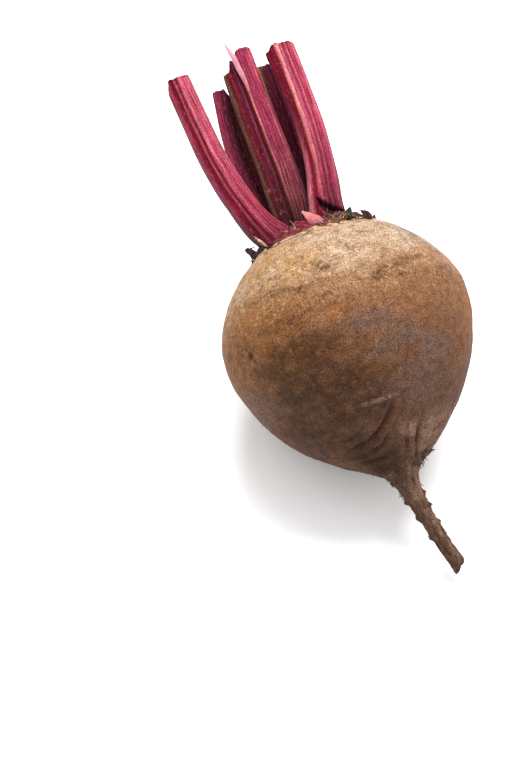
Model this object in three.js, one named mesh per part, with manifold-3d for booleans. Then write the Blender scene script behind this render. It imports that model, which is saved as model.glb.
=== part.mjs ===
// A fresh beetroot as it is sold with its tops cut short: a swollen root with its tail, a knobbly crown of old
// leaf bases, and five ribbed leaf stalks. It lies on its side, tail forward and crown raised.
//
// Millimetres, +Z up. The surface that it lies on is z = 0, and the origin is on it, straight below the middle
// of the bulb, inside the small flat spot that the bulb rests on. The tail points to -Y and the stalks to +Y.
//
// Every piece is drawn on an upright beetroot, whose z = 0 is the bulb's widest ring, whose crown is up and whose
// front is -Y. The upright beetroot is spun a little about its own axis and then laid back.

import * as THREE from "three";
import { mergeVertices } from "three/addons/utils/BufferGeometryUtils.js";
import Module from "manifold-3d";

// ---------------------------------------------------------------- driving dimensions

const AXIS_RISE = 24; // degrees that the beetroot's axis climbs from tail to crown as it lies
const SPIN = -11; // degrees that it is rolled about its own axis
const BULB_HEIGHT = 39.1; // height of the bulb's middle: its round belly would reach 0.8 mm below the surface
const GAP = 0.3; // clearance between the crown and the root
const ROOT_TOP = 29.7; // height of the flat that the crown stands on
const SOCKET_GAP = 0.75; // clearance round a stalk in its socket in the crown

// The root's outline, as [radius, height], from the cut end of the tail up to the shoulder under the crown.
const ROOT_OUTLINE = [
  [2.3, -81],
  [2.6, -75],
  [2.4, -67],
  [2.7, -59.5],
  [3.3, -53],
  [5.6, -47.9],
  [12.0, -43.4],
  [19.3, -38],
  [26.8, -31.4],
  [32.9, -23],
  [37.0, -14],
  [39.4, -6],
  [40.0, 0],
  [39.0, 6],
  [36.2, 12.6],
  [32.2, 18.8],
  [27.2, 24.4],
  [21.6, 28.4],
  [18.0, ROOT_TOP],
];
const ROOT_SIDES = 40;
const ROOT_RINGS = 46;

// Where the root's middle line runs, as [x, y, z]: straight through the bulb, then bent along the tail.
const ROOT_LINE = [
  [0, 0, 40],
  [0, 0, -10],
  [0.4, 0, -34],
  [2.2, 0, -46.5],
  [3.9, 0.1, -56.5],
  [5.8, 0.8, -64.2],
  [7.7, 1.7, -71.5],
  [9.2, 2.6, -77],
  [10.4, 3.3, -81],
];
const TAIL_CUT_SLOPE = 0.95; // the knife took the tail's end off aslant: rise of the cut for each mm to the right

const CROWN_BOTTOM = ROOT_TOP + GAP;
// The crown's outline, as [radius, height], from its rim to the middle.
const CROWN_OUTLINE = [
  [19.4, CROWN_BOTTOM],
  [19.6, 30.8],
  [17.6, 32.6],
  [14.0, 34.2],
  [9.0, 35.6],
  [4.0, 36.2],
];
const CROWN_SIDES = 40;
const SOCKET_FLOOR = 31.2; // the stalks' roots go down to here, inside the crown

// One leaf stalk each. line is the middle line as [x, y, z]; width and thickness are those of the section;
// out is the direction that its ribbed back faces, in degrees from +X; channel is the hollow along its inner side,
// as a share of the thickness, and channelAt its direction from the middle of the inner side, in degrees; flare is
// how much wider the stalk is where it clasps the crown, or narrower if negative; cut is the ragged top, as
// [distance to the right of the middle line, rise].
const STALKS = {
  stalk_left: {
    line: [
      [-10.8, -6.4, SOCKET_FLOOR], [-15.3, -7.1, 38.7], [-18.2, -7.3, 46.5], [-22.1, -7.6, 62.5], [-25.2, -7.9, 90],
    ],
    width: 10.6, thickness: 8.4, out: 222, ribs: 9, channel: 0.26, channelAt: 12, flare: 0.2,
    cut: [[-4.4, -3.6], [-2.6, 0.6], [5, 0]],
    colour: 0xb03050,
  },
  stalk_back_left: {
    line: [[-8.0, 8.6, SOCKET_FLOOR], [-10.4, 9.8, 44], [-12.2, 10.4, 57], [-12.8, 10.4, 72], [-12.7, 10.0, 85]],
    width: 9.2, thickness: 6.8, out: 150, ribs: 8, channel: 0.3, channelAt: 0, flare: 0.15,
    cut: [[-4, 1.2], [1, 1.0], [2.4, -2.4], [4, -2.6]],
    colour: 0x7c2148,
  },
  stalk_middle: {
    line: [[-3.6, 1.6, SOCKET_FLOOR], [-4.0, 1.6, 44], [-4.1, 1.4, 57], [-4.8, 1.2, 73], [-5.4, 0.8, 92]],
    width: 13.0, thickness: 7.0, out: 76, ribs: 9, channel: 0.44, channelAt: -16, flare: -0.25,
    cut: [[-5.8, -2.6], [-3.2, -2.2], [-2.4, 0.5], [-1.6, 5.4], [-0.6, 3], [5, 3.4]],
    colour: 0xa02a50,
  },
  stalk_back_right: {
    line: [[4.4, 10.8, SOCKET_FLOOR], [4.3, 11.4, 44], [4.2, 11.8, 58], [4.1, 11.8, 72], [4.0, 11.6, 90]],
    width: 8.8, thickness: 7.2, out: 78, ribs: 8, channel: 0.3, channelAt: 0, flare: 0.15,
    cut: [[-4, 1], [0, 0.6], [4, -1]],
    colour: 0x6a1a3c,
  },
  stalk_right: {
    line: [[6.2, -4.8, SOCKET_FLOOR], [6.8, -5.0, 39.8], [8.4, -5.0, 47.7], [9.9, -4.6, 65], [9.2, -4.0, 91]],
    width: 10.8, thickness: 8.8, out: 318, ribs: 9, channel: 0.3, channelAt: -10, flare: 0.14,
    cut: [[-4.4, -1.2], [-2.6, 0.8], [5, 0]],
    colour: 0xb53456,
  },
};
const STALK_SIDES = 36;
const STALK_RINGS = 11;
const STALK_TAPER = 0.13; // share of its width that a stalk loses from crown to cut end
const RIB_DEPTH = 0.055; // depth of the furrows between ribs, as a share of the section's radius
const FLARE_LENGTH = 9; // how far up the flare at the foot reaches

// Dry remains of outer leaves round the rim of the crown, and one fleshy flap at its front. angle is the place
// round the crown in degrees from +X, out the distance from its middle; lean tips the blade outwards and skew
// pulls its tip sideways, both in mm at the tip.
const LEAF_BASES = [
  { angle: 184, out: 18.2, width: 3.4, height: 3.6, thickness: 1.5, lean: 1.9, skew: 0.6 },
  { angle: 202, out: 18.6, width: 4.6, height: 2.0, thickness: 1.4, lean: 1.1, skew: -0.8 },
  { angle: 240, out: 18.4, width: 4.6, height: 1.6, thickness: 1.3, lean: 0.3, skew: 0.9 },
  { angle: 262, out: 13.4, width: 7.4, height: 5.8, thickness: 1.5, lean: -0.6, skew: -2.4 },
  { angle: 302, out: 18.0, width: 4.2, height: 1.7, thickness: 1.3, lean: 0.5, skew: 1.0 },
  { angle: 326, out: 17.8, width: 3.2, height: 1.9, thickness: 1.4, lean: 0.4, skew: -0.8 },
  { angle: 350, out: 17.8, width: 3.4, height: 3.0, thickness: 1.7, lean: 0.6, skew: 1.2 },
  { angle: 18, out: 18.2, width: 4.0, height: 2.4, thickness: 1.4, lean: 1.0, skew: 0.8 },
  { angle: 48, out: 18.0, width: 5.2, height: 3.6, thickness: 1.6, lean: 0.9, skew: -1.0 },
  { angle: 82, out: 18.4, width: 4.4, height: 2.8, thickness: 1.5, lean: 1.2, skew: 0.7 },
  { angle: 114, out: 18.0, width: 5.4, height: 4.2, thickness: 1.7, lean: 0.8, skew: 1.2 },
  { angle: 150, out: 18.2, width: 4.2, height: 3.0, thickness: 1.5, lean: 1.2, skew: -0.8 },
];
const LEAF_BASE_FOOT = 31.0; // they are rooted inside the crown at this height

// Torn-off side roots: short tapered stumps, as [direction round the root in degrees from +X, height on the
// upright root, length, radius at the foot].
const ROOTLETS = [
  [312, -46.6, 1.2, 1.2],
  [336, -45.6, 1.5, 1.1],
  [356, -44.4, 1.2, 1.0],
  [208, -50.5, 0.8, 1.2],
  [8, -55.6, 0.9, 1.1],
  [184, -57.0, 0.9, 1.3],
  [350, -60.0, 0.8, 1.1],
  [194, -62.8, 1.0, 1.4],
  [20, -65.4, 0.6, 1.1],
  [120, -59.0, 1.0, 1.0],
  [70, -52.0, 1.2, 1.1],
  [188, -69.6, 0.5, 1.2],
];

const SEED_STEP = 12.9898; // spreads neighbouring vertices over the noise that roughens cut ends
const CUT_ROUGHNESS = 0.45; // how far a cut or torn end is uneven

// ---------------------------------------------------------------- helpers

const toRadians = THREE.MathUtils.degToRad;
const point = (p) => new THREE.Vector3(p[0], p[1], p[2]);

// A smooth curve through hand-placed points.
const smoothLine = (points) => new THREE.CatmullRomCurve3(points.map(point), false, "centripetal");

// The place where a line that only falls or only climbs passes a height.
function placeAtHeight(line, height) {
  const climbs = line.getPoint(1).z > line.getPoint(0).z;
  let low = 0;
  let high = 1;
  for (let step = 0; step < 30; step++) {
    const middle = (low + high) / 2;
    if (line.getPoint(middle).z < height === climbs) low = middle;
    else high = middle;
  }
  return line.getPoint((low + high) / 2);
}

// Repeatable unevenness between -1 and 1 for a numbered vertex.
function unevenness(number) {
  const wave = Math.sin(number * SEED_STEP) * 43758.5453;
  return 2 * (wave - Math.floor(wave)) - 1;
}

// A closed solid from rings of points, each ring running anticlockwise seen from the last ring's side.
function skin(rings) {
  const sides = rings[0].length;
  const middleOf = (ring) => ring.reduce((sum, p) => sum.add(p), new THREE.Vector3()).divideScalar(sides);
  const corners = [middleOf(rings[0]), ...rings.flat(), middleOf(rings.at(-1))];
  const faces = [];
  const at = (ring, side) => 1 + ring * sides + (side % sides);
  for (let side = 0; side < sides; side++) {
    faces.push(0, at(0, side + 1), at(0, side));
    for (let ring = 0; ring + 1 < rings.length; ring++) {
      faces.push(at(ring, side), at(ring, side + 1), at(ring + 1, side + 1));
      faces.push(at(ring, side), at(ring + 1, side + 1), at(ring + 1, side));
    }
    faces.push(corners.length - 1, at(rings.length - 1, side), at(rings.length - 1, side + 1));
  }
  return new THREE.BufferGeometry().setFromPoints(corners).setIndex(faces);
}

const wasm = await Module();
wasm.setup();

// A closed geometry as a solid that can be joined and cut.
function solid(geometry) {
  const bare = new THREE.BufferGeometry().setAttribute("position", geometry.getAttribute("position"));
  const merged = mergeVertices(geometry.index ? bare.setIndex(geometry.index) : bare);
  return new wasm.Manifold(
    new wasm.Mesh({
      numProp: 3,
      vertProperties: merged.attributes.position.array,
      triVerts: new Uint32Array(merged.index.array),
    }),
  );
}

// A joined or cut solid back as a geometry.
function geometryOf(made) {
  const mesh = made.getMesh();
  return new THREE.BufferGeometry()
    .setAttribute("position", new THREE.BufferAttribute(mesh.vertProperties, 3))
    .setIndex(new THREE.BufferAttribute(mesh.triVerts, 1));
}

function namedMesh(name, geometry, colour, roughness) {
  const material = new THREE.MeshStandardMaterial({ color: colour, roughness, metalness: 0, flatShading: true });
  const mesh = new THREE.Mesh(geometry, material);
  mesh.name = name;
  return mesh;
}

// ---------------------------------------------------------------- the laid-back frame

// The upright beetroot goes in this group, and the group lies as the beetroot lies.
const upright = new THREE.Group();
upright.rotation.z = toRadians(SPIN);
const beetroot = new THREE.Group();
beetroot.add(upright);
beetroot.rotation.x = toRadians(AXIS_RISE - 90);
beetroot.position.z = BULB_HEIGHT;
beetroot.updateMatrixWorld(true);

// Everything below the surface that the beetroot lies on, in the upright beetroot's own frame.
function belowSurface() {
  const depth = 100;
  return new THREE.BoxGeometry(4 * depth, 4 * depth, depth)
    .translate(0, 0, -depth / 2)
    .applyMatrix4(upright.matrixWorld.clone().invert());
}

// ---------------------------------------------------------------- root: bulb, tail and side-root stumps

// How far the root departs from round, as a share of its radius: broad lumps all over, and folds that gather
// where the bulb narrows into its tail.
function rootLumps(turn, height) {
  const broad = 0.006 * Math.cos(2 * turn + 2.8) + 0.01 * Math.cos(3 * turn);
  const gathered = Math.exp(-(((height + 43) / 7) ** 2));
  const folds = 0.05 * Math.cos(5 * turn + 0.9) + 0.035 * Math.cos(8 * turn + height / 9);
  return 1 + broad + gathered * folds;
}

// The root's wall at a height, in a direction round its middle line.
function onRoot(line, radius, height, turn) {
  const middle = placeAtHeight(line, height);
  const reach = radius * rootLumps(turn, height);
  return new THREE.Vector3(middle.x + reach * Math.cos(turn), middle.y + reach * Math.sin(turn), height);
}

// One torn side root: a short five-sided peg, tapered and sunk into the root.
function rootlet(line, outline, [direction, height, length, footRadius]) {
  const turn = toRadians(direction);
  const sunk = 1.2;
  const foot = onRoot(line, placeOutline(outline, height), height, turn);
  const peg = new THREE.CylinderGeometry(footRadius * 0.45, footRadius, length + sunk, 5)
    .translate(0, (length - sunk) / 2, 0)
    .rotateZ(-Math.PI / 2)
    .rotateY(toRadians(18))
    .rotateZ(turn)
    .translate(foot.x, foot.y, foot.z);
  return solid(peg);
}

// The outline's radius at a height.
function placeOutline(outline, height) {
  return placeAtHeight(outline, height).x;
}

function root() {
  const line = smoothLine(ROOT_LINE);
  const outline = smoothLine(ROOT_OUTLINE.map(([radius, height]) => [radius, 0, height]));
  const rings = outline.getSpacedPoints(ROOT_RINGS).map((place, ring) =>
    Array.from({ length: ROOT_SIDES }, (_, side) => {
      const wall = onRoot(line, place.x, place.z, (side / ROOT_SIDES) * 2 * Math.PI);
      if (ring === 0) wall.z += TAIL_CUT_SLOPE * (wall.x - placeAtHeight(line, place.z).x);
      return wall;
    }),
  );
  const stumps = ROOTLETS.map((place) => rootlet(line, outline, place));
  const whole = stumps.reduce((body, stump) => body.add(stump), solid(skin(rings)));
  return namedMesh("root", geometryOf(whole.subtract(solid(belowSurface()))), 0x8a6248, 0.8);
}

// ---------------------------------------------------------------- leaf stalks

// The section of a stalk: a thick crescent, ribbed on its back and hollow along its inner side. Angle 0 is one
// margin, a quarter turn the middle of the back. Returns [along the width, towards the back], in mm.
function stalkSection(stalk, turn, scale) {
  const inner = Math.atan2(Math.sin(turn + Math.PI / 2 - toRadians(stalk.channelAt)),
    Math.cos(turn + Math.PI / 2 - toRadians(stalk.channelAt)));
  const hollow = stalk.channel * 1.5 * Math.exp(-((inner / 0.62) ** 2));
  const ribs = RIB_DEPTH * Math.cos(stalk.ribs * turn) * (1 - Math.exp(-((inner / 1.1) ** 2)));
  const reach = 1 - hollow + ribs;
  return [reach * scale * stalk.width / 2 * Math.cos(turn), reach * scale * stalk.thickness / 2 * Math.sin(turn)];
}

// All corners of a section, moved outwards square to its outline by grow.
function sectionCorners(stalk, scale, grow) {
  const turnOf = (side) => (side / STALK_SIDES) * 2 * Math.PI;
  return Array.from({ length: STALK_SIDES }, (_, side) => {
    const [wide, deep] = stalkSection(stalk, turnOf(side), scale);
    const before = stalkSection(stalk, turnOf(side - 1), scale);
    const after = stalkSection(stalk, turnOf(side + 1), scale);
    const outwards = new THREE.Vector2(after[1] - before[1], before[0] - after[0]).setLength(grow);
    return [wide + outwards.x, deep + outwards.y];
  });
}

// How far a cut end rises at a distance to the right of the middle line.
function riseAt(cut, distance) {
  const after = cut.findIndex(([right]) => right > distance);
  if (after === 0) return cut[0][1];
  if (after < 0) return cut.at(-1)[1];
  const [[fromRight, fromRise], [toRight, toRise]] = cut.slice(after - 1, after + 1);
  return THREE.MathUtils.mapLinear(distance, fromRight, toRight, fromRise, toRise);
}

// A stalk from its root inside the crown to its cut end; grow makes it larger all round, to cut its socket.
function stalkGeometry(stalk, grow) {
  const line = smoothLine(stalk.line);
  const length = line.getLength();
  const back = new THREE.Vector3(Math.cos(toRadians(stalk.out)), Math.sin(toRadians(stalk.out)), 0);
  const rings = Array.from({ length: STALK_RINGS }, (_, ring) => {
    const along = ring / (STALK_RINGS - 1);
    const middle = line.getPointAt(along);
    const upwards = new THREE.Vector3(0, 0, 1).lerp(line.getTangentAt(along), Math.min(1, along * 5)).normalize();
    const across = new THREE.Vector3().crossVectors(back, upwards).normalize();
    const backwards = new THREE.Vector3().crossVectors(upwards, across);
    const flare = stalk.flare * Math.exp(-((along * length / FLARE_LENGTH) ** 2));
    const scale = (1 - STALK_TAPER * along) * (1 + flare);
    if (ring === 0) middle.z -= grow;
    return sectionCorners(stalk, scale, grow).map(([wide, deep], side) => {
      const corner = middle.clone().addScaledVector(across, wide).addScaledVector(backwards, deep);
      if (ring === STALK_RINGS - 1) {
        const uneven = CUT_ROUGHNESS * unevenness(side + stalk.out);
        corner.addScaledVector(upwards, riseAt(stalk.cut, corner.x - middle.x) + uneven);
      }
      return corner;
    });
  });
  return skin(rings);
}

// ---------------------------------------------------------------- crown

// A withered leaf base or flap: a flat six-sided blade that narrows to a blunt tip.
function leafBase({ angle, out, width, height, thickness, lean, skew }) {
  const turn = toRadians(angle);
  const shares = [0, 0.45, 0.8, 1];
  const narrowing = [1, 0.86, 0.55, 0.22];
  const rings = shares.map((share, ring) =>
    Array.from({ length: 6 }, (_, side) => {
      const corner = (side / 6) * 2 * Math.PI;
      const across = (width / 2) * narrowing[ring] * Math.cos(corner) + skew * share ** 1.5;
      const outwards = out + (thickness / 2) * (1 - 0.5 * share) * Math.sin(corner) + lean * share ** 1.5;
      return new THREE.Vector3(
        outwards * Math.cos(turn) - across * Math.sin(turn),
        outwards * Math.sin(turn) + across * Math.cos(turn),
        LEAF_BASE_FOOT + height * share,
      );
    }).reverse(),
  );
  return solid(skin(rings));
}

// The crown's low dome, raised in rows of leaf scars.
function crownDome() {
  const outline = smoothLine(CROWN_OUTLINE.map(([radius, height]) => [radius, 0, height]));
  const rings = outline.getSpacedPoints(9).map((place) =>
    Array.from({ length: CROWN_SIDES }, (_, side) => {
      const turn = (side / CROWN_SIDES) * 2 * Math.PI;
      const above = place.z - CROWN_BOTTOM;
      const scars = 1 + 0.03 * Math.cos(5 * turn + place.z) + 0.02 * Math.cos(9 * turn - 2 * place.z);
      return new THREE.Vector3(place.x * Math.cos(turn), place.x * Math.sin(turn), CROWN_BOTTOM + above * scars);
    }),
  );
  return solid(skin(rings));
}

function crown() {
  const withBases = LEAF_BASES.reduce((body, base) => body.add(leafBase(base)), crownDome());
  const sockets = Object.values(STALKS).map((stalk) => solid(stalkGeometry(stalk, SOCKET_GAP)));
  const cut = sockets.reduce((body, socket) => body.subtract(socket), withBases);
  return namedMesh("crown", geometryOf(cut), 0x7a2b3a, 0.75);
}

// ---------------------------------------------------------------- the whole beetroot

upright.add(root(), crown());
for (const [name, stalk] of Object.entries(STALKS)) {
  upright.add(namedMesh(name, stalkGeometry(stalk, 0), stalk.colour, 0.5));
}

export default beetroot;
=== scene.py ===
"""A whole fresh beetroot with its tops cut short, lying on its side on a white table.

Metres, +Z up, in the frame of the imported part. Each piece is modelled on an upright beetroot, whose widest
ring is at z = 0, whose crown is up and whose front is -Y, and is then laid back into its place.
"""

import math
import random

import bpy
import numpy as np
from mathutils import Matrix, Vector, noise


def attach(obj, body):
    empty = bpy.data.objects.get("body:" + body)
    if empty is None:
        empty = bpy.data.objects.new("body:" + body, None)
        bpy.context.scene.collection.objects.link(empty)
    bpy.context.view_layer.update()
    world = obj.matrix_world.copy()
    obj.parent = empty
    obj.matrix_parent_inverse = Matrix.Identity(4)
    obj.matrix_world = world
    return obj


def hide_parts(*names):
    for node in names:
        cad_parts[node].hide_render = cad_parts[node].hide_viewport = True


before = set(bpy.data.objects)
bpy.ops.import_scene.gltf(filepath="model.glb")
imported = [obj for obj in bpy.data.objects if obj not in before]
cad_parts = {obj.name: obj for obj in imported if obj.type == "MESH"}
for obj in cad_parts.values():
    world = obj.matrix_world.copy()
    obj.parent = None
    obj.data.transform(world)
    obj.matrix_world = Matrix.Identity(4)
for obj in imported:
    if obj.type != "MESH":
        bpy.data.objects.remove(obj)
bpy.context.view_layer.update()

# ---------------------------------------------------------------- root
# The root is one grown body: a round bulb that narrows through gathered folds into a thin bent tail, with the
# torn stumps of side roots. Its skin is dry cork, rough and earthy, golden at the shoulder and grey-brown
# below.

MM = 0.001
AXIS_RISE = math.radians(24)  # how far the axis climbs from the tail to the crown
SPIN = math.radians(-11)  # how far the beetroot is rolled about its axis
BULB_HEIGHT = 39.1 * MM  # from the table to the middle of the bulb
LAID_BACK = (
    Matrix.Translation((0, 0, BULB_HEIGHT))
    @ Matrix.Rotation(AXIS_RISE - math.pi / 2, 4, "X")
    @ Matrix.Rotation(SPIN, 4, "Z")
)
ROOT_SIDES = 48
# Rings from the shoulder to the cut end of the tail, in mm: radius, height, and the middle's x and y.
ROOT_RINGS = [
    (18.0, 29.8, 0, 0),
    (20.2, 29.4, 0, 0),
    (22.6, 27.9, 0, 0),
    (27.4, 24.4, 0, 0),
    (32.4, 18.8, 0, 0),
    (36.4, 12.6, 0, 0),
    (39.2, 6, 0, 0),
    (40.0, 0, 0, 0),
    (39.6, -6, 0, 0),
    (37.1, -14, 0, 0),
    (33.0, -23, 0.1, 0),
    (26.9, -31.4, 0.3, 0),
    (19.2, -38.2, 0.9, 0),
    (12.1, -43.4, 1.7, 0),
    (8.0, -46.1, 2.1, 0),
    (5.4, -48.2, 2.4, 0),
    (3.9, -51, 2.8, 0),
    (3.1, -55, 3.6, 0.1),
    (2.7, -60, 4.7, 0.3),
    (2.45, -67, 6.5, 1.1),
    (2.6, -75, 8.6, 2.3),
    (2.4, -79.5, 10.0, 3.05),
    (2.3, -81, 10.4, 3.3),
]
TAIL_START = -44  # the height in mm below which the skin is that of the tail
FOLDS_AT, FOLDS_REACH = -43, 7  # where the folds gather, and how far they reach up and down, in mm
TAIL_CUT_SLOPE = 0.95  # how far the cut end of the tail rises for each mm across
SKIN_EDGE = 28.3  # the height in mm at which the skin ends under the crown
# Stumps and nodules of side roots: direction in degrees, height, length and radius in mm.
ROOTLETS = [
    (312, -46.6, 1.2, 1.2),
    (336, -45.6, 1.5, 1.1),
    (356, -44.4, 1.2, 1.0),
    (208, -50.5, 0.8, 1.2),
    (8, -55.6, 0.9, 1.1),
    (184, -57.0, 0.9, 1.3),
    (350, -60.0, 0.8, 1.1),
    (194, -62.8, 1.0, 1.4),
    (20, -65.4, 0.6, 1.1),
    (120, -59.0, 1.0, 1.0),
    (70, -52.0, 1.2, 1.1),
    (188, -69.6, 0.5, 1.2),
]
SKIN_MESH = 0.5 * MM  # edge length of the finished mesh


def finish_modifier(kind, **settings):
    """Adds a modifier to the active object and applies it."""
    modifier = bpy.context.object.modifiers.new(kind, kind)
    for name, value in settings.items():
        setattr(modifier, name, value)
    bpy.ops.object.modifier_apply(modifier=modifier.name)


def start_ring(sides, radius, centre):
    """A new object that holds one open ring, left in edit mode with the ring selected."""
    bpy.ops.object.select_all(action="DESELECT")
    bpy.ops.mesh.primitive_circle_add(vertices=sides, radius=radius, location=(0, 0, 0), enter_editmode=True)
    bpy.ops.transform.translate(value=centre)


def next_ring(move, grow, centre):
    """Extrudes the selected ring by a move and scales the new ring about its centre."""
    bpy.ops.mesh.extrude_region_move(TRANSFORM_OT_translate={"value": move})
    bpy.ops.transform.resize(value=(grow, grow, grow), center_override=centre)


def close_rings(first_sides):
    """Fills the selected last ring and then the first one, and turns every face outwards."""
    bpy.ops.mesh.edge_face_add()
    bpy.ops.mesh.select_all(action="DESELECT")
    bpy.ops.object.mode_set(mode="OBJECT")
    for vertex in bpy.context.object.data.vertices[:first_sides]:
        vertex.select = True
    bpy.ops.object.mode_set(mode="EDIT")
    bpy.ops.mesh.edge_face_add()
    bpy.ops.mesh.select_all(action="SELECT")
    bpy.ops.mesh.normals_make_consistent(inside=False)
    bpy.ops.object.mode_set(mode="OBJECT")


def read_vectors(piece, what):
    """A mesh's vertex places ("co") or normals ("normal") as an array with a row for each vertex."""
    values = np.empty(len(piece.data.vertices) * 3)
    piece.data.vertices.foreach_get(what, values)
    return values.reshape(-1, 3)


def set_places(piece, places):
    piece.data.vertices.foreach_set("co", np.ascontiguousarray(places, dtype=np.float32).ravel())
    piece.data.update()


def paint(piece, name, amounts):
    """Stores an amount for each vertex, which the material reads by name."""
    piece.data.attributes.new(name, "FLOAT", "POINT").data.foreach_set("value", amounts.astype(np.float32))


def middle_at(height):
    """The root's middle line at a height, as arrays of x and y."""
    heights = [ring[1] * MM for ring in reversed(ROOT_RINGS)]
    x = np.interp(height, heights, [ring[2] * MM for ring in reversed(ROOT_RINGS)])
    y = np.interp(height, heights, [ring[3] * MM for ring in reversed(ROOT_RINGS)])
    return x, y


def on_root(direction, height):
    """A point of the root's wall, by direction in degrees and height in mm."""
    x, y = middle_at(height * MM)
    heights = [ring[1] for ring in reversed(ROOT_RINGS)]
    radius = np.interp(height, heights, [ring[0] for ring in reversed(ROOT_RINGS)]) * MM
    turn = math.radians(direction)
    return Vector((x + radius * math.cos(turn), y + radius * math.sin(turn), height * MM))


def wavy(places, size, seed, stretch=(1, 1, 1)):
    """Smooth noise from -1 to 1 at each place, with features of a size in mm."""
    scaled = places / (size * MM) / np.array(stretch) + seed
    return np.array([noise.noise(place) for place in scaled])


def lay_back(piece, name, mesh_material):
    """Names a finished upright piece, gives it its material and lays it into its place."""
    piece.name = name
    piece.data.name = name
    piece.data.transform(LAID_BACK)
    piece.data.materials.clear()
    piece.data.materials.append(mesh_material)
    bpy.ops.object.select_all(action="DESELECT")
    piece.select_set(True)
    bpy.context.view_layer.objects.active = piece
    bpy.ops.object.shade_smooth()


def linear(hex_colour):
    """An sRGB hex colour as linear red, green, blue and alpha."""
    channels = [int(hex_colour[at:at + 2], 16) / 255 for at in (1, 3, 5)]
    return [c / 12.92 if c <= 0.04045 else ((c + 0.055) / 1.055) ** 2.4 for c in channels] + [1]


def new_material(name, shader):
    """A named material with one Principled shader: its node tree and that shader."""
    material = bpy.data.materials.new(name)
    material.use_nodes = True
    tree = material.node_tree
    principled = tree.nodes["Principled BSDF"]
    for socket, value in shader.items():
        principled.inputs[socket].default_value = value
    return material, tree, principled


def add_node(tree, kind, inputs, ramp=None, **settings):
    """Adds a node with settings, colour stops and inputs, each a value or another node's output."""
    node = tree.nodes.new(kind)
    for name, value in settings.items():
        setattr(node, name, value)
    for socket, value in inputs.items():
        if isinstance(value, bpy.types.NodeSocket):
            tree.links.new(value, node.inputs[socket])
        else:
            node.inputs[socket].default_value = value
    if ramp:
        stops = node.color_ramp.elements
        for _ in ramp[2:]:
            stops.new(1)
        for stop, (place, colour) in zip(stops, ramp):
            stop.position = place
            stop.color = linear(colour)
    return node


def upright_place(tree):
    """Object coordinates turned back to the upright beetroot."""
    coordinates = add_node(tree, "ShaderNodeTexCoord", {})
    return add_node(
        tree, "ShaderNodeMapping",
        {"Vector": coordinates.outputs["Object"], "Location": LAID_BACK.translation,
         "Rotation": LAID_BACK.to_euler()},
        vector_type="TEXTURE",
    ).outputs["Vector"]


def lay_over(tree, tone, amount, colour):
    """Mixes a colour over a tone by an amount."""
    return add_node(
        tree, "ShaderNodeMix", {0: amount, 6: tone, 7: linear(colour)}, data_type="RGBA",
    ).outputs[2]


def flecks(tree, tone, place, size, low, high, colour, strength, stretch=(1, 1, 1), where=None):
    """Lays irregular flecks of a colour over a tone, of a size in mm; where limits them to a part."""
    drawn = add_node(
        tree, "ShaderNodeMapping",
        {"Vector": place, "Location": (size, low, high), "Scale": [1 / share for share in stretch]},
    )
    mask = add_node(
        tree, "ShaderNodeTexNoise",
        {"Vector": drawn.outputs["Vector"], "Scale": 1 / (size * MM), "Detail": 3, "Roughness": 0.6},
    )
    amount = add_node(
        tree, "ShaderNodeMapRange",
        {"Value": mask.outputs[0], "From Min": low, "From Max": high, "To Max": strength},
    ).outputs[0]
    if where:
        amount = add_node(tree, "ShaderNodeMath", {0: amount, 1: where}, operation="MULTIPLY").outputs[0]
    return lay_over(tree, tone, amount, colour)


def shaded(tree, tone, pattern, low, high):
    """Multiplies a tone by two levels of red, green and blue, mixed by a pattern of mostly 0.3 to 0.7."""
    share = add_node(
        tree, "ShaderNodeMapRange", {"Value": pattern, "From Min": 0.3, "From Max": 0.7},
    ).outputs[0]
    factor = add_node(
        tree, "ShaderNodeMix", {0: share, 6: (*low, 1), 7: (*high, 1)}, data_type="RGBA",
    ).outputs[2]
    return add_node(
        tree, "ShaderNodeMix", {0: 1.0, 6: tone, 7: factor}, data_type="RGBA", blend_type="MULTIPLY",
    ).outputs[2]


def by_height(tree, height, start, end, most=1):
    """An amount that grows from nothing to its most between two heights in mm."""
    return add_node(
        tree, "ShaderNodeMapRange",
        {"Value": height, "From Min": start * MM, "From Max": end * MM, "To Max": most},
    ).outputs[0]


def roughen(tree, shader, pattern, strength, distance):
    """Lets a pattern raise and lower the surface by a distance in mm."""
    bump = add_node(
        tree, "ShaderNodeBump", {"Height": pattern, "Strength": strength, "Distance": distance * MM},
    )
    tree.links.new(bump.outputs["Normal"], shader.inputs["Normal"])


rings = [(radius * MM, Vector((x, y, height)) * MM) for radius, height, x, y in ROOT_RINGS]
start_ring(ROOT_SIDES, rings[0][0], rings[0][1])
for (last_radius, last), (radius, centre) in zip(rings, rings[1:]):
    next_ring(centre - last, radius / last_radius, centre)
next_ring((0, 0, 0), 0.5, rings[-1][1])
close_rings(ROOT_SIDES)
root = bpy.context.object

# The bulb is not quite round, the folds gather round the root of the tail, and a knife took the tail off
# aslant.
cage = read_vectors(root, "co")
middle_x, middle_y = middle_at(cage[:, 2])
turn = np.arctan2(cage[:, 1] - middle_y, cage[:, 0] - middle_x)
height_mm = cage[:, 2] / MM
broad = 0.006 * np.cos(2 * turn + 2.8) + 0.01 * np.cos(3 * turn)
folds = 0.05 * np.cos(5 * turn + 0.9) + 0.035 * np.cos(8 * turn + height_mm / 9)
swell = 1 + broad + np.exp(-(((height_mm - FOLDS_AT) / FOLDS_REACH) ** 2)) * folds
tail_end = ROOT_RINGS[-1]
cage[:, 2] += np.where(height_mm < tail_end[1] + 0.5, TAIL_CUT_SLOPE * (cage[:, 0] - middle_x), 0)
cage[:, 0] = middle_x + (cage[:, 0] - middle_x) * swell
cage[:, 1] = middle_y + (cage[:, 1] - middle_y) * swell
set_places(root, cage)
finish_modifier("SUBSURF", levels=2, render_levels=2)

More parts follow.
